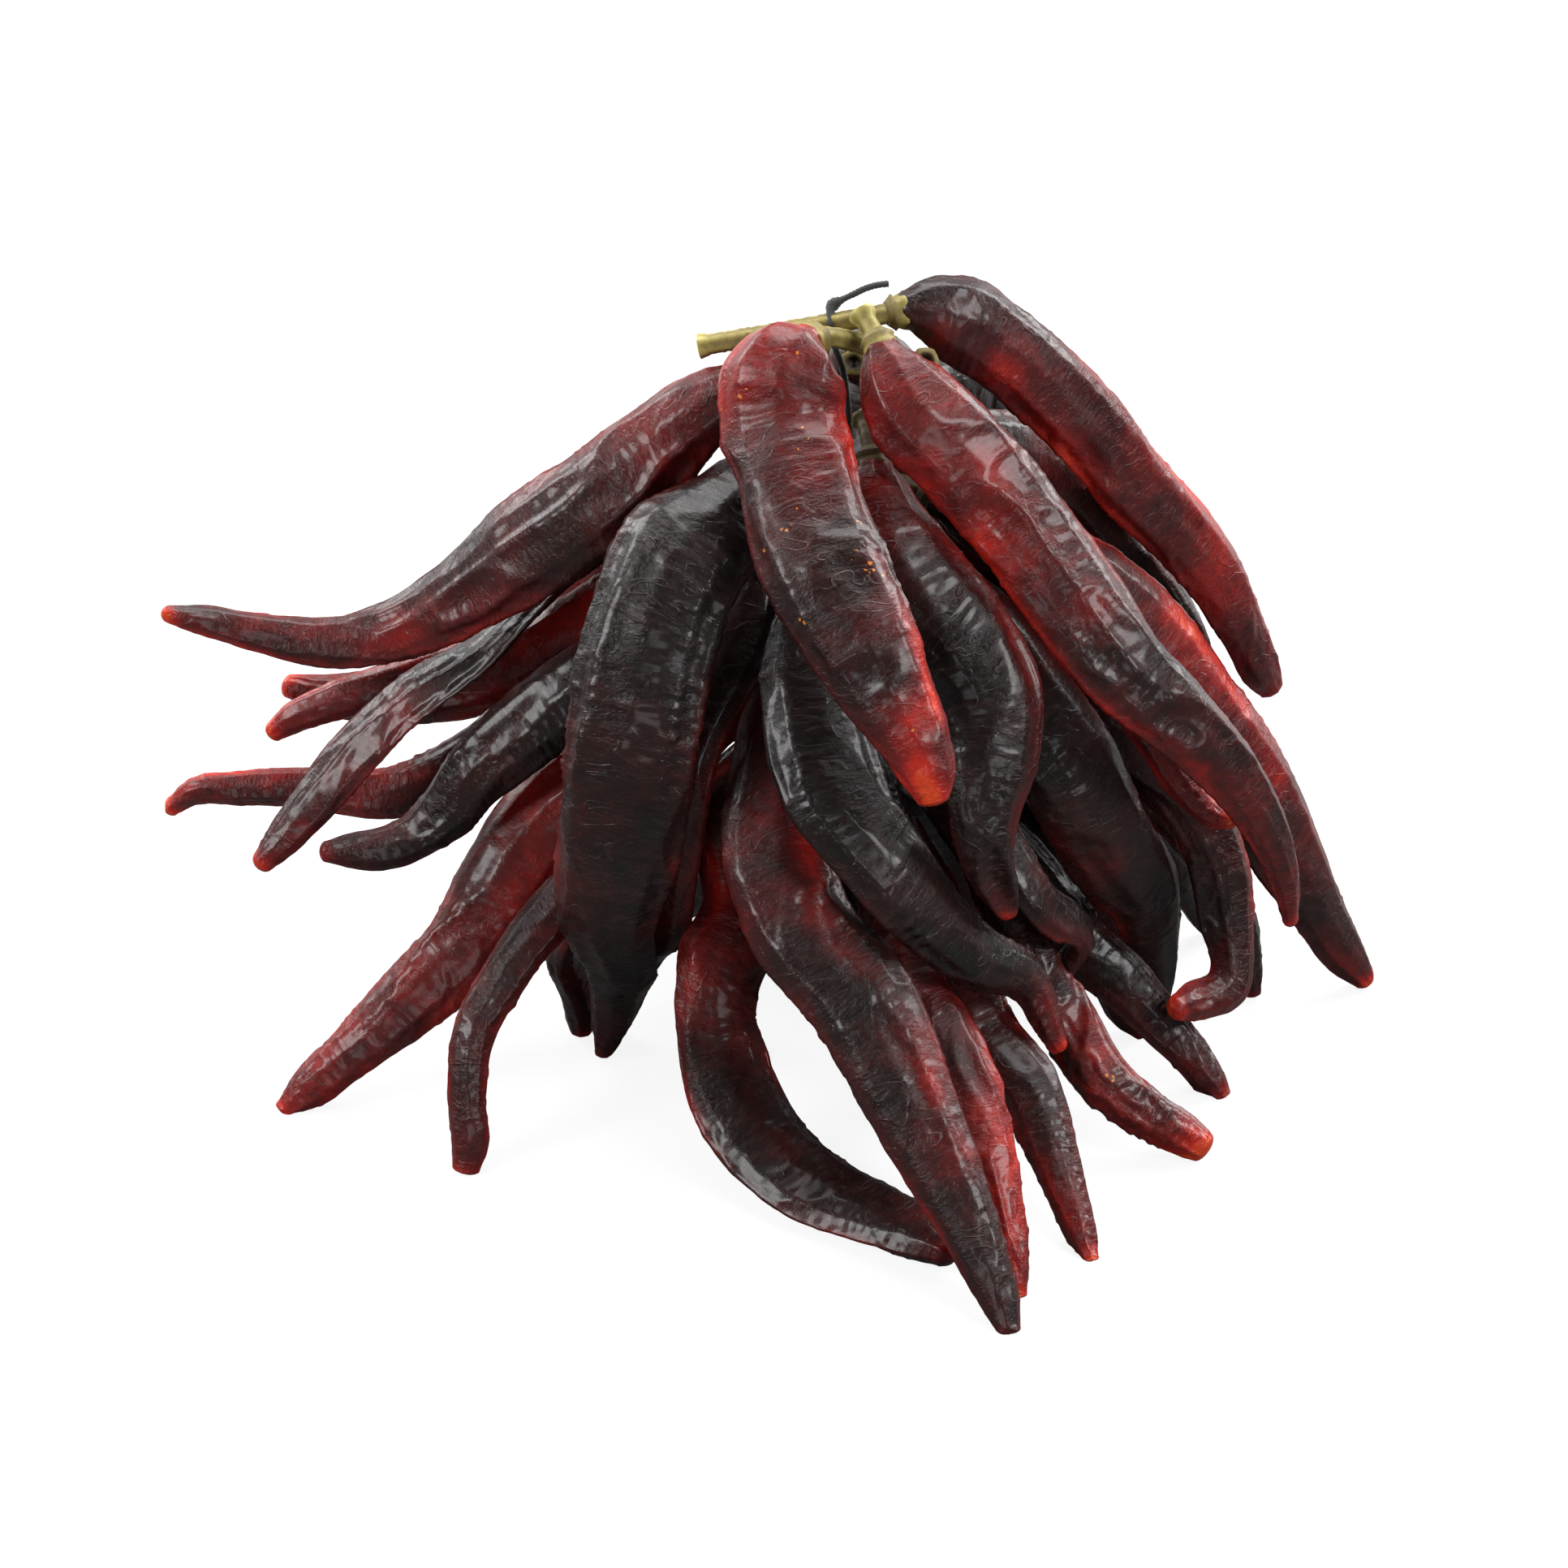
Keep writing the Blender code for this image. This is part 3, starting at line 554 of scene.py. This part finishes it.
    def fold_along(self, turn, height):
        """A sharp fold that wanders along the pod, with a hollow on one side of it."""
        away = self.skin.turn_from(turn) + FOLD_WANDER * self.sway(26)
        start, end = self.rng.uniform(*FOLD_START), self.rng.uniform(*FOLD_END)
        share = self.skin.share
        along = smooth((share - start) / FOLD_FADE) * smooth((end - share) / FOLD_FADE)
        crest = np.exp(-np.abs(away) / FOLD_WIDTH)
        hollow = bell((away - HOLLOW_AWAY) / HOLLOW_WIDTH)
        self.height += height * self.size * along * (crest - HOLLOW_DEPTH * hollow)

    def colour(self):
        """The look's tones, varied in patches, with a red tip and redder strips that are partly a painted
        glow.
        It paints a glow along the side edges, and shade in the dents and in the band of ripples.
        """
        look, share = self.look, self.skin.share
        tone = np.interp(share, np.linspace(0, 1, len(look.tones)), look.tones)
        tone = tone + look.patches * (0.8 * self.noise(26, 3) + 0.5 * self.noise(9, 5))
        # A painted glow of light through the thin side edges
        tone += look.edge * bell(self.side / EDGE_GLOW_WIDTH) * (0.6 + 0.7 * self.noise(15, 2))
        # Painted shade: darker in the dents and in the band of ripples, lighter on the rims between dents
        tone += RELIEF_SHADE * (0.5 - self.fine) - RELIEF_SHADE * self.band
        # Redder strips, partly the skin's own red and partly a painted glow of back light through the skin
        for turn, first, last, added in look.strips:
            along = smooth((share - first) / STRIP_FADE + 0.5) * smooth((last - share) / STRIP_FADE + 0.5)
            away = self.skin.turn_from(turn) + STRIP_WANDER * self.sway(18)
            tone += added * along * bell(away / STRIP_WIDTH) * (0.8 + 0.5 * self.noise(10, 4))
        from_tip = self.skin.length - self.skin.distance
        self.tone = tone + look.tip * smooth(1 - from_tip / TIP_LENGTH) ** 1.5

    def mark(self):
        """The look's deep dents, each with a low rim round it."""
        for middle, turn, length, width, depth, added in self.look.marks:
            down = (self.skin.distance - middle * self.skin.length) / (length / 2)
            over = self.skin.turn_from(turn) * self.skin.radius / (width / 2)
            away = np.hypot(down, over)
            rim = MARK_RIM_HEIGHT * bell((away - 1) / MARK_RIM_WIDTH)
            self.height += depth * (rim - smooth(1.1 - away))
            self.tone += added * smooth(1.3 - away)

    def add_bloom_and_sheen(self):
        """A pale dusty bloom, partly a painted sheen, on the folds between dents, on the wrinkles and in
        patches.
        """
        rims = np.maximum(self.fine_rim, self.finest_rim)
        self.haze = 0.3 * rims * self.patches(0.5, 1.0, 10, 5) + 0.2 * self.broad_rim
        self.haze += 0.9 * self.wrinkles + 0.2 * self.patches(0.2, 1.2, 16, 4)


# ---- meshes and pieces -------------------------------------------------------------------------------

MOST_APART = 500.0  # how far apart two pods' skins may lie in their material's noise


def grid_mesh(name, points, first, last, outward):
    """A closed mesh over a grid of rings, with a fan to the point at each end. Outward says whether its
    faces point away from the inside as they come. Otherwise they are turned round."""
    rows, sides = points.shape[:2]
    vertices = np.concatenate([[first], points.reshape(-1, 3), [last]])
    ring = np.arange(sides)
    after = (ring + 1) % sides
    start = 1 + sides * np.arange(rows - 1)[:, None]
    quads = np.stack([start + ring, start + after, start + sides + after, start + sides + ring], axis=2)
    quads = quads.reshape(-1, 4)
    end = 1 + sides * (rows - 1)
    first_fan = np.stack([np.zeros(sides, int), 1 + after, 1 + ring], axis=1)
    last_fan = np.stack([end + ring, end + after, np.full(sides, len(vertices) - 1)], axis=1)
    if not outward:
        quads, first_fan, last_fan = quads[:, ::-1], first_fan[:, ::-1], last_fan[:, ::-1]
    mesh = bpy.data.meshes.new(name)
    faces = quads.tolist() + first_fan.tolist() + last_fan.tolist()
    mesh.from_pydata((vertices * MM).tolist(), [], faces)
    mesh.shade_smooth()
    return mesh


def faces_outward(points):
    """Whether a grid's faces, in grid_mesh's own order, point away from its centre line."""
    middle = len(points) // 2
    ring = points[middle]
    across = ring[1] - ring[0]
    down = points[middle + 1][0] - ring[0]
    return float(np.cross(across, down) @ (ring[0] - ring.mean(axis=0))) > 0


def add_values(mesh, name, grid):
    """Stores a value for each vertex of a mesh from grid_mesh, for its material to read."""
    values = np.concatenate([[grid[0].mean()], grid.ravel(), [grid[-1].mean()]])
    attribute = mesh.attributes.new(name, "FLOAT", "POINT")
    attribute.data.foreach_set("value", values.astype(np.float32))


def add_object(mesh, material, slot, *nodes):
    """Puts a mesh into the scene as a piece that rides the bunch and replaces these nodes."""
    mesh.materials.append(material)
    piece = bpy.data.objects.new(mesh.name, mesh)
    bpy.context.scene.collection.objects.link(piece)
    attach(piece, "root")
    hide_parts(*nodes)


def kept_inside(points):
    """The points, none of them outside the solids' own box."""
    low, high = np.array(cad_box[0]) / MM, np.array(cad_box[1]) / MM
    return np.clip(points, low, high)


def make_pod(node, rings, tip, look, rng, material):
    """A pod's wrinkled skin, with the values that its material reads."""
    shown = "back_" not in node and "inner" not in node
    step, sides = (SHOWN_STEP, SHOWN_SIDES) if shown else (HIDDEN_STEP, HIDDEN_SIDES)
    skin = Skin(rings, tip, step, sides)
    relief = Relief(skin, look, rng)
    points = kept_inside(skin.points + skin.normal * relief.height[:, :, None])
    name = node.replace("chilli_", "pod_")
    mesh = grid_mesh(name, points, skin.first, skin.last, faces_outward(points))
    add_values(mesh, "tone", relief.tone)
    # where the pale bloom with its painted sheen lies
    add_values(mesh, "haze", relief.haze)
    add_values(mesh, "specks", np.full_like(relief.tone, look.specks))
    add_values(mesh, "along", skin.distance + rng.uniform(0, MOST_APART))
    add_values(mesh, "round_x", skin.radius * np.cos(skin.angle))
    add_values(mesh, "round_y", skin.radius * np.sin(skin.angle))
    add_object(mesh, material, "chilli_skin", node)


def across(way, start):
    """Two unit vectors at right angles to the way and to each other, the first one towards start."""
    one = unit(start - way * (start @ way))
    return one, np.cross(way, one)


def ring_round(centre, axes, angle, radius, shape):
    """Points round a centre, at these angles from the first axis. The shape multiplies the radius."""
    one, two = axes
    return centre + radius * (np.outer(np.cos(angle) * shape, one) + np.outer(np.sin(angle) * shape, two))


# ---- stems and calyxes -------------------------------------------------------------------------------

STEM_SIDES = 30
STEM_STEP = 0.7
STEM_INSET = 0.35  # from the spine's points to the rings round them
STEM_RIDGES = 5
RIDGE_TURN = 1.0  # of the first ridge, in radians
RIM_RIDGES = 0.02  # height of the ridges where the radius is 1
SIDE_RIDGES = 0.07
CUP_RIDGES = 0.04
STEM_BUMPS = 0.05
PITH_DEPTH = 1.2
PITH_BOTTOM = PITH_DEPTH + 0.2
PITH_SHARE = 0.45  # of the stem's radius

# The free end, from the pith outwards: depth, share of the radius and shade
STEM_END = (
    (PITH_DEPTH, PITH_SHARE * 0.8, 0.0),
    (0.1, PITH_SHARE, 0.1),
    (0.0, 0.7, 0.9),
    (0.15, 0.95, 1.0),
)
SIDE_SHADE = 0.62
RIDGE_SHADE = 0.1  # added on a ridge
END_SHADE = 0.25  # added at the free end
END_SHADE_LENGTH = 2.5

# The calyx, from the stem out to the brim and back inside. Each ring has its place along the pod from the
# neck, and its radius, which at the brim and inside is added to the brim's own.
CUP_TOP = ((-4.6, 2.4), (-4.0, 2.9), (-3.4, 3.4), (-2.9, 3.9))
CUP_BRIM = ((-2.2, -0.4), (-1.2, 0.0), (-0.4, 0.15), (-0.1, -0.1))
CUP_INSIDE = ((-0.6, -0.6), (-1.6, -1.1))
CUP_BOTTOM = -0.9
CUP_SHARE = 0.58  # the brim's radius, where the solid's neck has 1
CUP_SHADE = 0.52
BRIM_SHADE = 0.2  # added at the brim
INSIDE_SHADE = 0.3

# The stems at the top of the bunch. The others are darkened with painted shade, as they lie inside it.
UNSHADED_STEMS = ("top_left", "top_front", "top_right_front", "top_right")
STEM_SHADE_IN_BUNCH = 0.62  # painted shade: how light the other stems are, beside these


def make_stem(node, rings, rng, material):
    """The stem with its flared end, and the calyx as a cup over the pod's neck."""
    base = rings[:STEM_RINGS]
    centres = base.mean(axis=1)
    radii = np.linalg.norm(base - centres[:, None], axis=2).mean(axis=1)
    knots = lengths_along(centres)
    calyx = STEM_RINGS - 2
    neck = STEM_RINGS - 1
    spine = along_rings(centres, knots, np.arange(0, knots[calyx], STEM_STEP))
    count = len(spine)
    start = base[0][0] - centres[0]
    angle = 2 * math.pi * np.arange(STEM_SIDES) / STEM_SIDES
    ridges = np.cos(STEM_RIDGES * angle + RIDGE_TURN)
    rows, shades = [], []

    def add_ring(centre, way, radius, shape, shade):
        rows.append(ring_round(centre, across(way, start), angle, radius, shape))
        shades.append(np.full(STEM_SIDES, shade))

    end_way = unit(spine[1] - spine[0])
    for depth, share, shade in STEM_END:
        add_ring(spine[0] + end_way * depth, end_way, radii[0] * share, 1 + RIM_RIDGES * ridges, shade)

    for k, bump in enumerate(rng.uniform(-STEM_BUMPS, STEM_BUMPS, count)):
        way = unit(spine[min(k + 1, count - 1)] - spine[max(k - 1, 0)])
        distance = k * STEM_STEP + STEM_INSET
        radius = np.interp(distance, knots[:neck], radii[:neck]) * (1 + bump)
        shade = SIDE_SHADE + RIDGE_SHADE * ridges + END_SHADE * math.exp(-distance / END_SHADE_LENGTH)
        add_ring(spine[k] + way * STEM_INSET, way, radius, 1 + SIDE_RIDGES * ridges, shade)

    way = unit(centres[neck] - centres[calyx])
    brim = radii[neck] * CUP_SHARE
    phase = rng.uniform(0, 2 * math.pi)
    lobes = 0.06 * np.cos(5 * angle + phase) + 0.04 * np.cos(3 * angle + 2 * phase)
    profile = list(CUP_TOP) + [(offset, brim + wider) for offset, wider in CUP_BRIM + CUP_INSIDE]
    for k, (offset, radius) in enumerate(profile):
        at_brim = smooth((k - 2) / 4.0)  # 0 beside the stem, 1 from the brim on
        shade = CUP_SHADE + BRIM_SHADE * at_brim if k < len(CUP_TOP + CUP_BRIM) else INSIDE_SHADE
        shape = 1 + CUP_RIDGES * ridges + at_brim * lobes
        add_ring(centres[neck] + way * offset, way, radius, shape, shade)

    points = kept_inside(np.array(rows))
    first = spine[0] + end_way * PITH_BOTTOM
    last = centres[neck] + way * CUP_BOTTOM
    side = points[len(STEM_END) : len(STEM_END) + count]
    mesh = grid_mesh(node.replace("chilli_", "stem_"), points, first, last, faces_outward(side))
    # Painted shade on the stems that lie inside the bunch
    lightness = 1.0 if node.replace("chilli_", "") in UNSHADED_STEMS else STEM_SHADE_IN_BUNCH
    add_values(mesh, "shade", np.array(shades) * lightness)
    add_object(mesh, material, "chilli_stem", node)


# ---- the thread --------------------------------------------------------------------------------------

TWIST_SIDES = 18
TWIST_STEP = 0.35
TWIST_PITCH = 2.6
PLIES = 3
PLY_DEPTH = 0.28  # of the groove between two plies, where the radius is 1


def make_thread(material):
    """The black thread, laid up from three plies, along the solid's own centre line."""
    points, joined = welded("thread")
    foot = np.argsort(points[:, 2])[:THREAD_SIDES]
    rings = [points[sorted(layer)] for layer in layers([int(v) for v in foot], joined)]
    centres = np.array([ring.mean(axis=0) for ring in rings])
    radii = np.array([np.linalg.norm(ring - centre, axis=1).mean() for ring, centre in zip(rings, centres)])
    knots = lengths_along(centres)
    wanted = np.arange(0, knots[-1], TWIST_STEP)
    spine = along_rings(centres, knots, wanted)
    radius = along_rings(radii, knots, wanted)
    ways = np.gradient(spine, axis=0)
    ways /= np.linalg.norm(ways, axis=1, keepdims=True)
    angle = 2 * math.pi * np.arange(TWIST_SIDES) / TWIST_SIDES
    start = np.array([1.0, 0.0, 0.0])
    rows = []
    for k, (centre, way) in enumerate(zip(spine, ways)):
        axes = across(way, start)
        turn = angle - 2 * math.pi * wanted[k] / TWIST_PITCH
        plies = 1 - PLY_DEPTH * (1 - np.abs(np.cos(PLIES * turn / 2)))
        rows.append(ring_round(centre, axes, angle, radius[k], plies))
        start = axes[0]
    grid = kept_inside(np.array(rows))
    mesh = grid_mesh("thread_twisted", grid, spine[0], spine[-1], faces_outward(grid))
    add_object(mesh, material, "black_thread", "thread")


# ---- materials ---------------------------------------------------------------------------------------


class Nodes:
    """A short way to build a material's node tree. Noise scales are per metre, or per millimetre where
    the place is a pod's own skin."""

    def __init__(self, name):
        self.material = bpy.data.materials.new(name)
        self.material.use_nodes = True
        self.tree = self.material.node_tree
        self.shader = self.tree.nodes["Principled BSDF"]

    def add(self, kind, **settings):
        node = self.tree.nodes.new(kind)
        for key, value in settings.items():
            setattr(node, key, value)
        return node

    def join(self, source, target):
        self.tree.links.new(source, target)

    def give(self, socket, given):
        """Sets a socket to a number or a colour, or joins it to another node's output."""
        if isinstance(given, (int, float)):
            socket.default_value = given
        elif isinstance(given, tuple):
            socket.default_value = (*given, 1.0)
        else:
            self.join(given, socket)

    def shade(self, **sockets):
        """Gives the shader's sockets, written with _ for a space."""
        for name, given in sockets.items():
            self.give(self.shader.inputs[name.replace("_", " ")], given)

    def value(self, name):
        return self.add("ShaderNodeAttribute", attribute_name=name).outputs["Fac"]

    def place(self):
        return self.add("ShaderNodeTexCoord").outputs["Object"]

    def skin_place(self, stretch):
        """A place on the pod's own skin in millimetres, multiplied by this along the pod."""
        node = self.add("ShaderNodeCombineXYZ")
        self.join(self.math("MULTIPLY", self.value("along"), stretch), node.inputs["X"])
        self.join(self.value("round_x"), node.inputs["Y"])
        self.join(self.value("round_y"), node.inputs["Z"])
        return node.outputs["Vector"]

    def noise(self, scale, detail=3.0, roughness=0.55, distortion=0.0, place=None):
        node = self.add("ShaderNodeTexNoise")
        node.inputs["Scale"].default_value = scale
        node.inputs["Detail"].default_value = detail
        node.inputs["Roughness"].default_value = roughness
        node.inputs["Distortion"].default_value = distortion
        self.join(place or self.place(), node.inputs["Vector"])
        return node.outputs["Fac"]

    def math(self, operation, one, two, clamp=False):
        node = self.add("ShaderNodeMath", operation=operation, use_clamp=clamp)
        self.give(node.inputs[0], one)
        self.give(node.inputs[1], two)
        return node.outputs[0]

    def varied(self, noise, amount):
        """Noise about 0, of this amount in all."""
        return self.math("MULTIPLY", self.math("SUBTRACT", noise, 0.5), amount)

    def ramp(self, factor, stops):
        node = self.add("ShaderNodeValToRGB")
        elements = node.color_ramp.elements
        while len(elements) < len(stops):
            elements.new(0.5)
        for element, (position, colour) in zip(elements, stops):
            element.position = position
            element.color = (*colour, 1.0)
        self.join(factor, node.inputs["Fac"])
        return node.outputs["Color"]

    def mix(self, factor, one, two):
        node = self.add("ShaderNodeMix", data_type="RGBA")
        self.give(node.inputs["Factor"], factor)
        self.give(node.inputs["A"], one)
        self.give(node.inputs["B"], two)
        return node.outputs["Result"]

    def map_range(self, factor, **ends):
        node = self.add("ShaderNodeMapRange")
        for name, end in ends.items():
            node.inputs[name.replace("_", " ").title()].default_value = end
        self.join(factor, node.inputs["Value"])
        return node.outputs["Result"]

    def between(self, factor, low, high):
        """A value from low to high as the factor goes from 0 to 1."""
        return self.map_range(factor, to_min=low, to_max=high)

    def steep(self, factor, low, high):
        """A value that rises from 0 to 1 as the factor goes from low to high."""
        return self.map_range(factor, from_min=low, from_max=high)

    def bump(self, height, strength, distance):
        node = self.add("ShaderNodeBump")
        node.inputs["Strength"].default_value = strength
        node.inputs["Distance"].default_value = distance
        self.join(height, node.inputs["Height"])
        self.join(node.outputs["Normal"], self.shader.inputs["Normal"])


SKIN_COLOURS = (
    (0.0, (0.006, 0.0032, 0.003)),
    (0.18, (0.017, 0.004, 0.0036)),
    (0.36, (0.052, 0.0048, 0.0044)),
    (0.52, (0.12, 0.006, 0.005)),
    (0.68, (0.24, 0.008, 0.0055)),
    (0.84, (0.44, 0.014, 0.005)),
    (1.0, (0.62, 0.05, 0.007)),
)
SPECK_COLOUR = (0.55, 0.17, 0.02)
# A pale dusty bloom, partly a painted sheen, on the folds between dents, the wrinkles and the lines
BLOOM_AND_SHEEN_COLOUR = (0.12, 0.052, 0.05)
MOST_BLOOM_AND_SHEEN = 0.24
LINE_BLOOM_AND_SHEEN = 0.08
SKIN_ROUGHNESS = (0.18, 0.44)
SKIN_IOR = 1.45


def skin_lines(n):
    """1 along thin lines that wind over the skin in some places, 0 elsewhere."""
    winding = n.noise(0.1, detail=1.5, roughness=0.5, distortion=0.9, place=n.skin_place(1.5))
    winding = n.math("PINGPONG", n.math("MULTIPLY", winding, 9.0), 1.0)
    line = n.math("MULTIPLY", n.math("SUBTRACT", winding, 0.8), 5.0, clamp=True)
    return n.math("MULTIPLY", line, n.steep(n.noise(60.0, detail=2.0), 0.42, 0.54))


def skin_specks(n):
    """1 on small specks, in some places of the pods that have them."""
    spots = n.add("ShaderNodeTexVoronoi", feature="F1")
    spots.inputs["Scale"].default_value = 700.0
    n.join(n.place(), spots.inputs["Vector"])
    reach = n.between(n.noise(900.0, detail=4.0, roughness=0.7), -0.3, 0.8)
    near = n.math("LESS_THAN", spots.outputs["Distance"], reach)
    some = n.math("MULTIPLY", n.value("specks"), n.noise(85.0, roughness=0.7))
    return n.math("MULTIPLY", near, n.math("GREATER_THAN", some, 0.63))


def skin_material():
    """Near black to orange red by each point's tone, with a pale bloom that is partly a painted sheen, with
    lines and specks, and a half gloss.
    """
    n = Nodes("chilli_skin_dried")
    mottle = n.varied(n.noise(230.0, detail=5.0, roughness=0.6, distortion=0.5), 0.42)
    fine = n.varied(n.noise(900.0), 0.16)
    tone = n.math("ADD", n.math("ADD", n.value("tone"), mottle), fine, clamp=True)
    line = skin_lines(n)
    # The pale bloom with its painted sheen, in patches and along the winding lines
    cloudy = n.between(n.noise(420.0, detail=5.0, roughness=0.65), 0.0, MOST_BLOOM_AND_SHEEN)
    haze = n.math("MULTIPLY", n.value("haze"), cloudy, clamp=True)
    haze = n.math("ADD", haze, n.math("MULTIPLY", line, LINE_BLOOM_AND_SHEEN), clamp=True)
    colour = n.mix(haze, n.ramp(tone, SKIN_COLOURS), BLOOM_AND_SHEEN_COLOUR)
    n.shade(
        Base_Color=n.mix(skin_specks(n), colour, SPECK_COLOUR),
        Roughness=n.between(n.noise(300.0), *SKIN_ROUGHNESS),
        Metallic=0.0,
        IOR=SKIN_IOR,
        Specular_IOR_Level=0.3,
        Coat_Weight=0.28,
        Coat_Roughness=0.17,
        Coat_IOR=SKIN_IOR,
    )
    crinkle = n.noise(0.5, detail=4.0, roughness=0.6, distortion=0.7, place=n.skin_place(2.4))
    grain = n.noise(900.0, detail=4.0, roughness=0.6, distortion=0.8)
    crinkle = n.math("ADD", crinkle, n.math("MULTIPLY", grain, 0.5))
    n.bump(n.math("ADD", crinkle, n.math("MULTIPLY", line, 0.5)), strength=0.6, distance=0.0005)
    return n.material


STEM_COLOURS = (
    (0.0, (0.016, 0.01, 0.005)),
    (0.35, (0.075, 0.05, 0.016)),
    (0.6, (0.2, 0.155, 0.04)),
    (0.8, (0.36, 0.3, 0.08)),
    (1.0, (0.56, 0.5, 0.2)),
)


def stem_material():
    """Dark brown to pale straw by each point's shade, dry and matt."""
    n = Nodes("chilli_stem_dried")
    streaks = n.varied(n.noise(420.0, detail=4.0, roughness=0.6), 0.5)
    shade = n.math("ADD", n.value("shade"), streaks, clamp=True)
    n.shade(Base_Color=n.ramp(shade, STEM_COLOURS), Roughness=n.between(n.noise(600.0), 0.45, 0.7))
    n.bump(n.noise(1500.0), strength=0.4, distance=0.0003)
    return n.material


THREAD_COLOURS = (
    (0.25, (0.006, 0.008, 0.008)),
    (0.8, (0.035, 0.042, 0.04)),
)


def thread_material():
    """Black fibres with a faint sheen."""
    n = Nodes("black_thread_twisted")
    fibres = n.noise(5200.0, roughness=0.6)
    n.shade(
        Base_Color=n.ramp(fibres, THREAD_COLOURS),
        Roughness=n.between(fibres, 0.6, 0.9),
        Sheen_Weight=0.2,
    )
    n.bump(fibres, strength=0.5, distance=0.0002)
    return n.material


# ---- the room ----------------------------------------------------------------------------------------

# In metres, degrees and watts
LOOK_AT = (0.0017, 0.0076, 0.0546)
CAMERA_DISTANCE = 0.9
CAMERA_ELEVATION = 30.0
VIEW_WIDTH = 0.348
SENSOR_WIDTH = 36.0  # in millimetres, as the lens is
FLOOR_SIZE = 6.0
WHITE = (1.0, 1.0, 1.0)

# Azimuth (0 stands on the +X side, 90 on the +Y side), elevation, distance, width and power
SOFTBOXES = {
    "light_top": (80, 68, 1.3, 0.9, 18),
    "light_left": (-155, 34, 1.2, 0.4, 9),
    "light_right": (-35, 38, 1.2, 0.35, 7),
    "light_front": (-102, 14, 1.2, 0.3, 1.2),
    "light_front_right": (-62, 16, 1.2, 0.25, 1.2),
    "light_back_right": (35, 30, 1.3, 0.7, 17),
    "light_back_left": (140, 28, 1.3, 0.6, 10),
}


def floor_material():
    """White to the camera. It reflects little of the lamps' light, and glows behind the bunch, which
    shows in the pods' gloss."""
    n = Nodes("pale_floor")
    seen = n.add("ShaderNodeLightPath").outputs["Is Camera Ray"]
    split = n.add("ShaderNodeSeparateXYZ")
    n.join(n.place(), split.inputs["Vector"])
    behind = n.math("MULTIPLY", n.steep(split.outputs["Y"], 0.0, 0.5), 0.9)
    n.shade(
        Base_Color=(0.13, 0.13, 0.13),
        Roughness=0.8,
        Specular_IOR_Level=0.1,
        Emission_Color=WHITE,
        Emission_Strength=n.math("MAXIMUM", n.math("MULTIPLY", seen, 0.88), behind),
    )
    return n.material


def make_camera():
    """Seen from the front and above, as in the photo."""
    camera = bpy.data.objects.new("camera", bpy.data.cameras.new("camera"))
    elevation = math.radians(CAMERA_ELEVATION)
    camera.location = (
        LOOK_AT[0],
        LOOK_AT[1] - CAMERA_DISTANCE * math.cos(elevation),
        LOOK_AT[2] + CAMERA_DISTANCE * math.sin(elevation),
    )
    camera.rotation_euler = (math.pi / 2 - elevation, 0, 0)
    camera.data.sensor_width = SENSOR_WIDTH
    camera.data.lens = SENSOR_WIDTH * CAMERA_DISTANCE / VIEW_WIDTH
    bpy.context.scene.collection.objects.link(camera)
    bpy.context.scene.camera = camera


def make_softbox(name, azimuth, elevation, distance, width, watts):
    """A square area light that faces the bunch."""
    light = bpy.data.lights.new(name, "AREA")
    light.shape = "SQUARE"
    light.size = width
    light.energy = watts
    lamp = bpy.data.objects.new(name, light)
    a, e = math.radians(azimuth), math.radians(elevation)
    lamp.location = (
        distance * math.cos(a) * math.cos(e),
        distance * math.sin(a) * math.cos(e),
        LOOK_AT[2] + distance * math.sin(e),
    )
    lamp.rotation_euler = (math.pi / 2 - e, 0, a + math.pi / 2)
    bpy.context.scene.collection.objects.link(lamp)


WORLD_FRONT = -0.2  # the world's light grows towards the back from directions with this Y


def make_world(front_strength, back_strength, seen_strength):
    """White all round. It lights the bunch from the back more than from the front, and is seen whiter."""
    world = bpy.data.worlds.new("white_studio")
    bpy.context.scene.world = world
    world.use_nodes = True
    nodes, links = world.node_tree.nodes, world.node_tree.links
    background = nodes["Background"]
    background.inputs["Color"].default_value = (*WHITE, 1.0)
    path = nodes.new("ShaderNodeLightPath")
    split = nodes.new("ShaderNodeSeparateXYZ")
    links.new(nodes.new("ShaderNodeTexCoord").outputs["Generated"], split.inputs["Vector"])
    lit = nodes.new("ShaderNodeMapRange")
    lit.inputs["From Min"].default_value = WORLD_FRONT
    lit.inputs["To Min"].default_value = front_strength
    lit.inputs["To Max"].default_value = back_strength
    links.new(split.outputs["Y"], lit.inputs["Value"])
    strength = nodes.new("ShaderNodeMapRange")
    strength.inputs["To Max"].default_value = seen_strength
    links.new(path.outputs["Is Camera Ray"], strength.inputs["Value"])
    links.new(lit.outputs["Result"], strength.inputs["To Min"])
    links.new(strength.outputs["Result"], background.inputs["Strength"])


def make_floor():
    half = FLOOR_SIZE / 2
    corners = [(-half, -half, 0), (half, -half, 0), (half, half, 0), (-half, half, 0)]
    mesh = bpy.data.meshes.new("floor")
    mesh.from_pydata(corners, [], [(0, 1, 2, 3)])
    mesh.materials.append(floor_material())
    floor = bpy.data.objects.new("floor", mesh)
    bpy.context.scene.collection.objects.link(floor)


def main():
    make_camera()
    make_world(front_strength=0.02, back_strength=0.7, seen_strength=1.15)
    for name, place_and_power in SOFTBOXES.items():
        make_softbox(name, *place_and_power)
    make_floor()
    bpy.context.scene.view_settings.view_transform = "Standard"

    skin, stem, thread = skin_material(), stem_material(), thread_material()
    chillies = [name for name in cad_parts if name.startswith("chilli_")]
    for index, node in enumerate(chillies):
        rng = np.random.default_rng(SEED + index)
        rings, tip = chilli_rings(node)
        make_pod(node, rings, tip, look_of(node.replace("chilli_", ""), index), rng, skin)
        make_stem(node, rings, rng, stem)
    make_thread(thread)


main()
